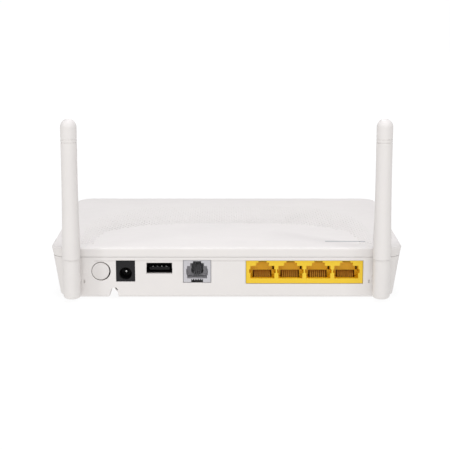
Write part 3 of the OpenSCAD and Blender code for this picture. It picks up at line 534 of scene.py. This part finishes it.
def cover_rings(inset):
    """Rings of (x, y, z) from the cover's lower rim to the middle of its top."""
    rings = []
    for z, side, rear in cover_slices():
        points = case_outline(side + inset, side + inset, rear + inset, CORNER_R - side - inset)
        height = max(z - inset, COVER_LOW) if z > COVER_LOW + LIP_ROUND else COVER_LOW
        rings.append([Vector((*p, height if inset else z)) for p in points])
    rim = [Vector((p.x, p.y)) for p in rings[-1]]
    centre = Vector((0, MID_Y))
    for step in range(1, TOP_RINGS):
        share = 1 - (step / TOP_RINGS) ** RING_SPREAD
        flat = [centre.lerp(p, share) for p in rim]
        rings.append([Vector((*p, crown_height(*p) - inset)) for p in flat])
    rings.append([Vector((*centre, crown_height(*centre) - inset))])
    return rings


def half_oval(x, size):
    """Depth, at x, of a squarish oval of this half width and depth."""
    return size[1] * max(0, 1 - abs(x / size[0]) ** FIELD_SQUARENESS) ** (1 / FIELD_SQUARENESS)


def vent_radius(x, y):
    """Radius of the vent hole at a place, or 0 where the top is closed."""
    depth = REAR - y
    inner = half_oval(x, DOME)
    outer = half_oval(x, FIELD)
    if depth < VENT_FROM_REAR or not inner < depth < outer:
        return 0
    across = (depth - inner) / (outer - inner)
    return VENT_R[1] + (VENT_R[0] - VENT_R[1]) * across


def vent_places():
    """(x, y, radius) of each vent hole, in staggered rows."""
    rows = int(FIELD[1] / VENT_PITCH[1])
    columns = int(FIELD[0] / VENT_PITCH[0]) + 1
    places = []
    for row in range(rows + 1):
        y = REAR - row * VENT_PITCH[1]
        for column in range(-columns, columns + 1):
            x = (column + (row % 2) / 2) * VENT_PITCH[0]
            radius = vent_radius(x, y)
            if radius:
                places.append((x, y, radius))
    return places


def add_towers(cover):
    """The towers that the case screws go into, each with its bore."""
    towers, bores = bmesh.new(), bmesh.new()
    low = COVER[0].z
    bore_low, bore_top = low - MM, low + TOWER_BORE_DEPTH
    bore = [(0, bore_low), (TOWER_BORE_R, bore_low), (TOWER_BORE_R, bore_top), (0, bore_top)]
    for screw in islands("case_screws"):
        x, y, _ = middle(screw)
        roof = crown_height(x, y) - COVER_WALL / 2
        tower = [(0, low), (TOWER_R, low), (TOWER_R, roof), (0, roof)]
        add_turned(towers, tower, (x, y, 0), segments=32)
        add_turned(bores, bore, (x, y, 0), segments=24)
    combine(cover, towers, "UNION")
    combine(cover, bores, "DIFFERENCE")


def cut_windows(cover):
    """Openings in the front for the light guides."""
    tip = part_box("led_light_guide")
    windows = bmesh.new()
    for led in islands("status_leds"):
        x = middle(led).x
        half = WINDOW_W / 2 + WINDOW_CLEAR
        add_box(windows, (x - half, FRONT - MM, tip[1].z - WINDOW_H - WINDOW_CLEAR),
                (x + half, FRONT + WINDOW_DEPTH, tip[1].z + WINDOW_CLEAR))
    combine(cover, windows, "DIFFERENCE")


def make_cover():
    """The crowned cover, with its screw towers, light windows and vent holes."""
    bm = bmesh.new()
    outer = [[bm.verts.new(p) for p in ring] for ring in cover_rings(0)]
    inner = [[bm.verts.new(p) for p in ring] for ring in cover_rings(COVER_WALL)]
    bmesh.ops.recalc_face_normals(bm, faces=bridge(bm, outer[::-1] + inner))
    cover = new_object("top_cover.look", bm)
    add_towers(cover)
    cut_windows(cover)
    holes = bmesh.new()
    for x, y, radius in vent_places():
        wide = radius + VENT_CHAMFER
        profile = [(0, -VENT_CUT), (radius, -VENT_CUT), (radius, -VENT_CHAMFER)]
        profile += [(wide, 0), (wide, MM), (0, MM)]
        add_turned(holes, profile, (x, y, crown_height(x, y)), segments=10)
    combine(cover, holes, "DIFFERENCE")
    smooth(cover)
    settle(cover, "white_plastic", "top_cover", PRINTED_WHITE)


# ------------------------------------------------------------------ base
BASE_BEVEL = 0.1 * MM
REAR_WALL = 2.4 * MM
LEDGE_Z = UNDERSIDE + 18.6 * MM
LEDGE_HALF_W = 66 * MM
LEDGE_GROOVE = (0.14 * MM, 0.22 * MM)
NOTCH = ((54.2, -1), (54.4, 2.4), (54.8, 2.7), (56.0, 4.3), (56.4, 4.6), (56.9, 4.7),
         (57.4, 4.5), (57.8, 4.0), (58.3, 2.6), (59.0, 0.3), (59.2, -1))
NOTCH_SLIT = ((54.4, 3.75), (54.8, 3.25), (55.8, 4.55), (55.4, 5.05))
NOTCH_SLIT_DEPTH = 2.25 * MM
NOTCH_FILL_LOW = UNDERSIDE + 1.1 * MM
NOTCH_PAST = 0.5 * MM
USB_WINDOW_HALF_W = 6.5 * MM
USB_WINDOW_DOWN = 3.0 * MM
LATCH_HALF_W = 0.5 * MM
LATCH_Z = (UNDERSIDE + 7 * MM, UNDERSIDE + 9.1 * MM)
LATCH_SUNK = 0.7 * MM
LATCH_THIN = 0.2 * MM
STRIP_X = 71.1 * MM
STRIP_Z = (UNDERSIDE + 11.9 * MM, UNDERSIDE + 20 * MM)
STRIP_W = 1.6 * MM
STRIP_T = 0.12 * MM


def reshape_notch(base):
    """Gives the fibre's notch its leaning sides and rounded top, and a blind slit beside it.

    NOTCH and NOTCH_SLIT list (x, height above the underside) in mm.
    """
    block, notch, slit = (bmesh.new() for _ in range(3))
    notch_shape, slit_shape = ([(x * MM, UNDERSIDE + up * MM) for x, up in places]
                               for places in (NOTCH, NOTCH_SLIT))
    low, high = min(notch_shape), max(notch_shape)
    add_box(block, (low[0], REAR - REAR_WALL, NOTCH_FILL_LOW),
            (high[0], REAR, max(z for _, z in notch_shape) + MM))
    combine(base, block, "UNION")
    add_prism(notch, notch_shape, REAR - REAR_WALL - NOTCH_PAST, REAR + MM)
    combine(base, notch, "DIFFERENCE")
    add_prism(slit, slit_shape, REAR - NOTCH_SLIT_DEPTH, REAR + MM)
    combine(base, slit, "DIFFERENCE")


def cut_rear_wall(base):
    """Widens the USB window and cuts the shallow groove below the seam."""
    usb = middle(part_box("usb_shell"))
    window, groove = bmesh.new(), bmesh.new()
    add_box(window, (usb.x - USB_WINDOW_HALF_W, REAR - REAR_WALL - OVERLAP, usb.z - USB_WINDOW_DOWN),
            (usb.x + USB_WINDOW_HALF_W, REAR + MM, usb.z))
    combine(base, window, "DIFFERENCE")
    half_height, depth = LEDGE_GROOVE
    add_box(groove, (-LEDGE_HALF_W, REAR - depth, LEDGE_Z - half_height),
            (LEDGE_HALF_W, REAR + MM, LEDGE_Z + half_height))
    combine(base, groove, "DIFFERENCE")


def add_latches(base):
    """The sunk backs of the two latch slots, and the thin strip above each."""
    added = bmesh.new()
    for x in (-STRIP_X, STRIP_X):
        add_box(added, (x - LATCH_HALF_W, REAR - REAR_WALL + LATCH_THIN, LATCH_Z[0]),
                (x + LATCH_HALF_W, REAR - LATCH_SUNK, LATCH_Z[1]))
        add_box(added, (x - STRIP_W / 2, REAR - MM, STRIP_Z[0]),
                (x + STRIP_W / 2, REAR + STRIP_T, STRIP_Z[1]))
    combine(base, added, "UNION")


def make_base():
    base = cad_copy("base_shell")
    cut_rear_wall(base)
    add_latches(base)
    reshape_notch(base)
    smooth(base)
    add_bevel(base, BASE_BEVEL)
    settle(base, "white_plastic", "base_shell")


# ------------------------------------------------------------------ antennas
SLEEVE_RADII = ((20 * MM, 4.45 * MM), (30 * MM, 4.4 * MM), (42 * MM, 4.14 * MM),
                (56 * MM, 3.98 * MM), (68 * MM, 3.95 * MM), (86 * MM, 4 * MM))
SLEEVE_SLICES = [(24 + 1.5 * k) * MM for k in range(36)]
SLEEVE_TIP_STEPS = 12
SLEEVE_BORE_R = 2.95 * MM
SLEEVE_TIP_WALL = 3 * MM
SLEEVE_FOOT_ROUND = 0.1 * MM
GROOVES = (78.8 * MM, 80.4 * MM)
GROOVE_SHAPE = ((-0.3, 0.0), (-0.16, 0.7), (0.0, 1.0), (0.16, 0.7), (0.3, 0.0))
GROOVE_DEPTH = 0.25 * MM


def sleeve_radius(height):
    """Radius of the sleeve at a height above the underside, evenly between the listed ones."""
    for (low, a), (high, b) in zip(SLEEVE_RADII, SLEEVE_RADII[1:]):
        if height <= high:
            t = max(0, (height - low) / (high - low))
            return a + (b - a) * t
    return SLEEVE_RADII[-1][1]


def sleeve_profile(low, tip):
    """(radius, z) points of the sleeve: down inside its bore, then up its outside and round its tip.

    GROOVE_SHAPE lists (distance along in mm, share of the groove's depth).
    """
    bore_top = tip - SLEEVE_TIP_WALL
    foot = sleeve_radius(low - UNDERSIDE)
    points = [(0, bore_top), (SLEEVE_BORE_R, bore_top), (SLEEVE_BORE_R, low),
              (foot - SLEEVE_FOOT_ROUND, low), (foot, low + SLEEVE_FOOT_ROUND)]
    points += [(sleeve_radius(height), UNDERSIDE + height) for height in SLEEVE_SLICES]
    for groove in GROOVES:
        for along, depth in GROOVE_SHAPE:
            z = UNDERSIDE + groove + along * MM
            points.append((sleeve_radius(z - UNDERSIDE) - depth * GROOVE_DEPTH, z))
    radius = SLEEVE_RADII[-1][1]
    for step in range(SLEEVE_TIP_STEPS):
        a = math.pi / 2 * step / SLEEVE_TIP_STEPS
        points.append((radius * math.cos(a), tip - radius + radius * math.sin(a)))
    return points + [(0, tip)]


def make_sleeve(node):
    low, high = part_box(node)
    centre = middle((low, high))
    sleeve = turned(node + ".look", sleeve_profile(low.z, high.z), (centre.x, centre.y, 0))
    smooth(sleeve, 40)
    settle(sleeve, "white_plastic", node)


# ------------------------------------------------------------------ LAN sockets
PORT_PITCH = 13.97 * MM
PORTS = 4
PORT_FLOOR = 2.44 * MM
PORT_STEPS = ((6.0 * MM, 0), (6.6 * MM, 2.75 * MM), (6.0 * MM, 4.75 * MM), (3.2 * MM, 6.5 * MM),
              (2.05 * MM, 8.1 * MM))
PORT_TOP = 8.8 * MM
PORT_DEPTH = 8 * MM
SLOT_DEPTH = 12 * MM
WIRE_PITCH = 1.02 * MM
RECESS_HALF_W = 4.7 * MM
RECESS_TOP = 2.65 * MM
RECESS_DROP = 1.6 * MM
RECESS_OVERLAP = 0.1 * MM
WIRE_HALF_W = 0.25 * MM
LAN_WIRE_ENDS = ((10 * MM, 2.2 * MM), (6 * MM, -1.1 * MM))
WIRE_SHELF = 2.2 * MM
WELL_HALF_W = 4.9 * MM
WELL_FRONT = 3.4 * MM
WELL_DROP = 2.2 * MM
LATCH_INSET = 0.1 * MM
SLIT_X = (5.1 * MM, 6.0 * MM)
SLIT_Z = (2.9 * MM, 6.4 * MM)


def port_places():
    low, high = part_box("lan_jack_block")
    centre = (low.x + high.x) / 2
    return [centre + (k - (PORTS - 1) / 2) * PORT_PITCH for k in range(PORTS)]


def wire_places(x, count):
    return [x + (k - (count - 1) / 2) * WIRE_PITCH for k in range(count)]


def cut_port(mouths, slots, wells, x, floor, face):
    """One network socket: its stepped mouth, then the recesses behind it and the well below it."""
    steps = [(half, floor + up) for half, up in PORT_STEPS]
    add_prism(mouths, stepped_outline(x, steps, floor + PORT_TOP), face - PORT_DEPTH, face + MM)
    back = face - PORT_DEPTH + RECESS_OVERLAP
    add_box(slots, (x - RECESS_HALF_W, face - SLOT_DEPTH, floor - RECESS_DROP),
            (x + RECESS_HALF_W, back, floor + RECESS_TOP))
    latch = [(half - LATCH_INSET, floor + up + LATCH_INSET) for half, up in PORT_STEPS[-2:]]
    add_prism(slots, stepped_outline(x, latch, floor + PORT_TOP - LATCH_INSET), face - SLOT_DEPTH, back)
    add_box(slots, (x - SLIT_X[1], face - SLOT_DEPTH, floor + SLIT_Z[0]),
            (x - SLIT_X[0], back, floor + SLIT_Z[1]))
    add_box(wells, (x - WELL_HALF_W, face - PORT_DEPTH, floor - WELL_DROP),
            (x + WELL_HALF_W, face - WELL_FRONT, floor + RECESS_OVERLAP))


def make_lan_block():
    low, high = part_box("lan_jack_block")
    bm = bmesh.new()
    add_box(bm, low, high)
    block = new_object("lan_jack_block.look", bm)
    mouths, slots, wells = (bmesh.new() for _ in range(3))
    for x in port_places():
        cut_port(mouths, slots, wells, x, low.z + PORT_FLOOR, high.y)
    for tool in (mouths, slots, wells):
        combine(block, tool, "DIFFERENCE")
    smooth(block)
    add_bevel(block, 0.12 * MM)
    settle(block, "yellow_plastic", "lan_jack_block")


def add_wire(bm, x, rear, front):
    """A square sprung wire from rear to front, both (y, z); it runs level, then bends down."""
    knee = (rear[0] + WIRE_SHELF, rear[1])
    width = 2 * WIRE_HALF_W
    section = ((-WIRE_HALF_W, 0), (WIRE_HALF_W, 0), (WIRE_HALF_W, width), (-WIRE_HALF_W, width))
    rings = [[bm.verts.new((x + a, y, z + b)) for a, b in section] for y, z in (rear, knee, front)]
    faces = [bm.faces.new(rings[0]), bm.faces.new(rings[-1])] + bridge(bm, rings)
    bmesh.ops.recalc_face_normals(bm, faces=faces)


def make_wires(node, block, places, floor, ends, surface):
    """A socket's wires; ends lists the depth and height, above the floor, of their rear and front."""
    low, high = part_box(block)
    rear, front = [(high.y - depth, low.z + floor + up) for depth, up in ends]
    bm = bmesh.new()
    for x in places:
        add_wire(bm, x, rear, front)
    wires = smooth(new_object(node + ".look", bm))
    add_bevel(wires, 0.06 * MM)
    settle(wires, "gold_plate", node, surface)


# ------------------------------------------------------------------ telephone socket
PHONE_FLOOR = 1.94 * MM
PHONE_STEPS = ((5.0 * MM, 0), (5.4 * MM, 1.9 * MM), (5.0 * MM, 5.0 * MM), (3.5 * MM, 6.4 * MM),
               (2.05 * MM, 7.9 * MM))
PHONE_TOP = 8.91 * MM
PHONE_DEPTH = 8 * MM
THROAT = ((1.4, 0.2), (3.0, 1.4), (3.0, 6.3), (3.4, 6.5), (3.4, 7.8), (1.95, 8.0), (1.95, 8.8))
THROAT_FRONT = 2 * MM
THROAT_DEPTH = 15 * MM
PHONE_WIRE_ENDS = ((10 * MM, 5.4 * MM), (4 * MM, 0.1 * MM))
COMB_HALF_W = 2.95 * MM
COMB_TOP = 1.78 * MM
COMB_DEPTH = 3 * MM
COMB_SUNK = 0.9 * MM
TEETH = 5
TOOTH_HALF_W = 0.26 * MM
TOOTH_H = 0.6 * MM


def make_phone_block():
    """The housing, with a stepped mouth, a throat for the wires and a comb of teeth below.

    THROAT lists (half width, height above the floor) in mm.
    """
    low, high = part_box("phone_jack_housing")
    x, floor, face = (low.x + high.x) / 2, low.z + PHONE_FLOOR, high.y
    bm = bmesh.new()
    add_box(bm, low, high)
    block = new_object("phone_jack_housing.look", bm)
    mouth, throat, comb, teeth = (bmesh.new() for _ in range(4))
    steps = [(half, floor + up) for half, up in PHONE_STEPS]
    add_prism(mouth, stepped_outline(x, steps, floor + PHONE_TOP), face - PHONE_DEPTH, face + MM)
    side = [(half * MM, floor + up * MM) for half, up in THROAT]
    throat_shape = [(x + half, z) for half, z in side] + [(x - half, z) for half, z in side[::-1]]
    add_prism(throat, throat_shape, face - THROAT_DEPTH, face - THROAT_FRONT)
    add_box(comb, (x - COMB_HALF_W, face - COMB_DEPTH, low.z - MM),
            (x + COMB_HALF_W, face + MM, low.z + COMB_TOP))
    for place in tooth_places(x):
        add_box(teeth, (place - TOOTH_HALF_W, face - COMB_SUNK, low.z + COMB_TOP - TOOTH_H),
                (place + TOOTH_HALF_W, face - OVERLAP, low.z + COMB_TOP + OVERLAP))
    for tool in (mouth, throat, comb):
        combine(block, tool, "DIFFERENCE")
    combine(block, teeth, "UNION")
    smooth(block)
    add_bevel(block, 0.1 * MM)
    settle(block, "grey_plastic", "phone_jack_housing")


def tooth_places(x):
    return [x + (k - (TEETH - 1) / 2) * 2 * COMB_HALF_W / TEETH for k in range(TEETH)]


def make_phone_comb_shade_strip():
    """A black strip set into the housing behind the teeth below the telephone socket: painted shade in
    the gaps between the teeth.
    """
    low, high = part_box("phone_jack_housing")
    x = (low.x + high.x) / 2
    bm = bmesh.new()
    add_box(bm, (x - COMB_HALF_W, high.y - COMB_DEPTH, low.z),
            (x + COMB_HALF_W, high.y - COMB_SUNK, low.z + COMB_TOP))
    comb = smooth(new_object("phone_jack_comb_shade_strip.look", bm))
    add_bevel(comb, 0.04 * MM)
    dress(comb, "black_plastic", "phone_jack_housing")


# ------------------------------------------------------------------ USB socket
CONTACT_HALF_W = 0.36 * MM
CONTACT_L = 2.2 * MM
CONTACT_BUMP = 0.3 * MM


def make_usb_contacts():
    """The rounded front ends of the socket's contacts; the rest lies inside the tongue."""
    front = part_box("usb_contacts")[1].y
    bm = bmesh.new()
    for contact in islands("usb_contacts"):
        x = middle(contact).x
        top = contact[1].z
        add_box(bm, (x - CONTACT_HALF_W, front - CONTACT_L, top - CONTACT_BUMP),
                (x + CONTACT_HALF_W, front, top))
    contacts = smooth(new_object("usb_contacts.look", bm))
    add_bevel(contacts, 0.12 * MM, 3)
    # The contacts get the lighter steel: a painted glint.
    settle(contacts, "gold_plate", "usb_contacts", PAINTED_GLINT_STEEL)


# ------------------------------------------------------------------ power inlet
PIN_TAPER = ((1.0, 1.2), (0.92, 0.8), (0.8, 0.5), (0.62, 0.2), (0.35, 0.05), (0, 0))


def make_dc_pin():
    """The inlet's pin, with a tapered tip; PIN_TAPER lists (radius, distance from the tip) in mm."""
    low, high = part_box("dc_jack_pin")
    centre = middle((low, high))
    profile = [(0, low.y), (PIN_TAPER[0][0] * MM, low.y)]
    profile += [(radius * MM, high.y - back * MM) for radius, back in PIN_TAPER]
    pin = turned("dc_jack_pin.look", profile, (centre.x, 0, centre.z), "Y", 48)
    smooth(pin, 40)
    # The pin gets the lighter steel: a painted glint on its tip.
    settle(pin, "nickel_steel", "dc_jack_pin", PAINTED_GLINT_STEEL)


# ------------------------------------------------------------------ power button
CAP_ROUND = 0.25 * MM
CAP_CROWN = 0.12 * MM
CAP_SIDE_PLAY = 0.22 * MM
CAP_TRIM = 0.08 * MM
CAP_STEPS = 5
CAP_SOCKET = (1.9 * MM, 2.5 * MM)


def make_power_cap():
    """A slightly crowned cap, which sits a little to one side in its hole."""
    low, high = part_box("power_button_cap")
    centre = middle((low, high))
    radius = (high.x - low.x) / 2 - CAP_TRIM
    inner = CAP_SOCKET[1] + low.y
    profile = [(0, inner), (CAP_SOCKET[0], inner), (CAP_SOCKET[0], low.y), (radius, low.y)]
    rim = high.y - CAP_CROWN - CAP_ROUND
    for step in range(CAP_STEPS + 1):
        a = math.pi / 2 * step / CAP_STEPS
        profile.append((radius - CAP_ROUND + CAP_ROUND * math.cos(a), rim + CAP_ROUND * math.sin(a)))
    for step in range(1, CAP_STEPS + 1):
        share = 1 - step / CAP_STEPS
        profile.append(((radius - CAP_ROUND) * share, high.y - CAP_CROWN * share ** 2))
    cap = turned("power_button_cap.look", profile, (centre.x + CAP_SIDE_PLAY, 0, centre.z), "Y", 96)
    smooth(cap, 30)
    settle(cap, "button_plastic", "power_button_cap")


# ------------------------------------------------------------------ pieces that keep the CAD shape
BEVELS = {"antenna_left_knuckle": 0.06 * MM, "antenna_right_knuckle": 0.06 * MM,
          "dc_jack_housing": 0.25 * MM, "rubber_feet": 0.4 * MM, "rating_label": 0.05 * MM,
          "led_light_guide": 0.2 * MM, "wlan_button_cap": 0.3 * MM,
          "wps_button_cap": 0.3 * MM, "dust_plug": 0.3 * MM, "sc_adapter": 0.2 * MM}
USUAL_BEVEL = 0.15 * MM


def refine(node, slot):
    obj = smooth(cad_copy(node))
    add_bevel(obj, BEVELS.get(node, USUAL_BEVEL))
    # The USB shell gets the near-black steel: painted shade for the inside of its socket.
    settle(obj, slot, node, PAINTED_SHADE_BLACK_STEEL if node == "usb_shell" else None)


make_cover()
make_base()
make_sleeve("antenna_left_sleeve")
make_sleeve("antenna_right_sleeve")
make_lan_block()
LAN_WIRE_PLACES = [place for x in port_places() for place in wire_places(x, 8)]
# The network wires get the darkened gold: painted shade.
make_wires("lan_jack_contacts", "lan_jack_block", LAN_WIRE_PLACES, PORT_FLOOR, LAN_WIRE_ENDS, PAINTED_SHADE_GOLD)
make_phone_block()
make_phone_comb_shade_strip()
make_usb_contacts()
make_dc_pin()
PHONE_WIRE_PLACES = wire_places(middle(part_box("phone_jack_housing")).x, 4)
# The telephone wires get the darkened steel: painted shade.
make_wires("phone_jack_contacts", "phone_jack_housing", PHONE_WIRE_PLACES, PHONE_FLOOR,
           PHONE_WIRE_ENDS, PAINTED_SHADE_STEEL)
make_power_cap()
for part in frame["record"]["subparts"]:  # the nodes that nothing has replaced yet
    if not frame["nodes"][part["node"]].hide_render:
        refine(part["node"], part["material_slot"])

# ------------------------------------------------------------------ stage, light and camera
FLOOR_HALF = 20
LIGHT_DISTANCE = 1.2
LIGHT_SIZE = 0.4
SMALL_LIGHT_SIZE = 0.15
COOL = (0.98, 0.99, 1.05)
WORLD_LEVEL = 0.27
WORLD_GLOW = 0.92
FLOOR_GLOW = (0.90, 0.97)
FLOOR_GLOW_AT = (0.4, 1.5)
FLOOR_COLOR = (0.12, 0.12, 0.12)
SENSOR_W = 36
LENS = 106.94
LENS_SHIFT = -0.00356
CAMERA_PLACE = (0, 0.71425, 0.1692)
CAMERA_DOWN = 11.417


def make_floor():
    """A pale floor that glows enough to leave hardly any shadow, and is clear seen from below."""
    bm = bmesh.new()
    # off-centre, so that the diagonal between its two triangles stays clear of the case
    bmesh.ops.create_grid(bm, x_segments=1, y_segments=1, size=FLOOR_HALF,
                          matrix=Matrix.Translation((FLOOR_HALF / 3, 0, 0)))
    floor = new_object("floor", bm)
    surface = Surface("floor", FLOOR_COLOR, 0.9)
    surface.vary_color(300 * MM, 0.01)
    surface.set("Specular IOR Level", 0.0)
    surface.set("Emission Color", (1, 1, 1, 1))
    distance = surface.node("ShaderNodeVectorMath", operation="LENGTH")
    surface.link(surface.place, distance.inputs["Vector"])
    glow = surface.remap(distance.outputs["Value"], *FLOOR_GLOW, *FLOOR_GLOW_AT)
    surface.feed(glow, "Emission Strength")
    below = surface.node("ShaderNodeNewGeometry").outputs["Backfacing"]
    shown = surface.node("ShaderNodeMixShader")
    surface.link(below, shown.inputs["Fac"])
    surface.link(surface.shader.outputs["BSDF"], shown.inputs[1])
    surface.link(surface.node("ShaderNodeBsdfTransparent").outputs["BSDF"], shown.inputs[2])
    surface.link(shown.outputs["Shader"], surface.tree.nodes["Material Output"].inputs["Surface"])
    floor.data.materials.append(surface.material)


def make_world():
    """Soft grey surroundings, brightening towards +Y, behind the camera."""
    world = bpy.data.worlds.new("studio")
    world.use_nodes = True
    tree = world.node_tree
    parts = tree.nodes.new("ShaderNodeSeparateXYZ")
    tree.links.new(tree.nodes.new("ShaderNodeTexCoord").outputs["Generated"], parts.inputs["Vector"])
    level = parts.outputs["Y"]
    steps = (("MAXIMUM", (0,)), ("POWER", (2,)), ("MULTIPLY_ADD", (WORLD_GLOW, WORLD_LEVEL)))
    for operation, numbers in steps:
        step = tree.nodes.new("ShaderNodeMath")
        step.operation = operation
        tree.links.new(level, step.inputs[0])
        for k, number in enumerate(numbers):
            step.inputs[k + 1].default_value = number
        level = step.outputs["Value"]
    tree.links.new(level, tree.nodes["Background"].inputs["Color"])
    bpy.context.scene.world = world


def make_softbox(name, azimuth, elevation, power, size=LIGHT_SIZE, color=(1, 1, 1)):
    """A square light that faces the case; azimuth is measured from +Y towards +X, in degrees."""
    a, e = math.radians(azimuth), math.radians(elevation)
    direction = Vector((math.sin(a) * math.cos(e), math.cos(a) * math.cos(e), math.sin(e)))
    data = bpy.data.lights.new(name, "AREA")
    data.size = size
    data.color = color
    data.energy = power
    light = bpy.data.objects.new(name, data)
    light.location = direction * LIGHT_DISTANCE
    light.rotation_euler = direction.to_track_quat("Z", "Y").to_euler()
    bpy.context.scene.collection.objects.link(light)


def make_camera():
    """Looks at the sockets from +Y, a little from above."""
    data = bpy.data.cameras.new("camera")
    data.lens = LENS
    data.sensor_width = SENSOR_W
    data.shift_x = LENS_SHIFT
    camera = bpy.data.objects.new("camera", data)
    camera.location = CAMERA_PLACE
    camera.rotation_euler = (math.radians(90 - CAMERA_DOWN), 0, math.pi)
    bpy.context.scene.collection.objects.link(camera)
    bpy.context.scene.camera = camera


make_floor()
make_world()
make_softbox("left_softbox", 54, 16, 2.1, SMALL_LIGHT_SIZE)
make_softbox("right_softbox", -54, 44, 1.8, SMALL_LIGHT_SIZE)
make_softbox("rear_softbox", 0, 20, 0.8)
make_softbox("top_softbox", 0, 80, 7.4, color=COOL)
make_softbox("front_softbox", 180, 50, 3.6)
make_camera()
bpy.context.scene.view_settings.view_transform = "Standard"
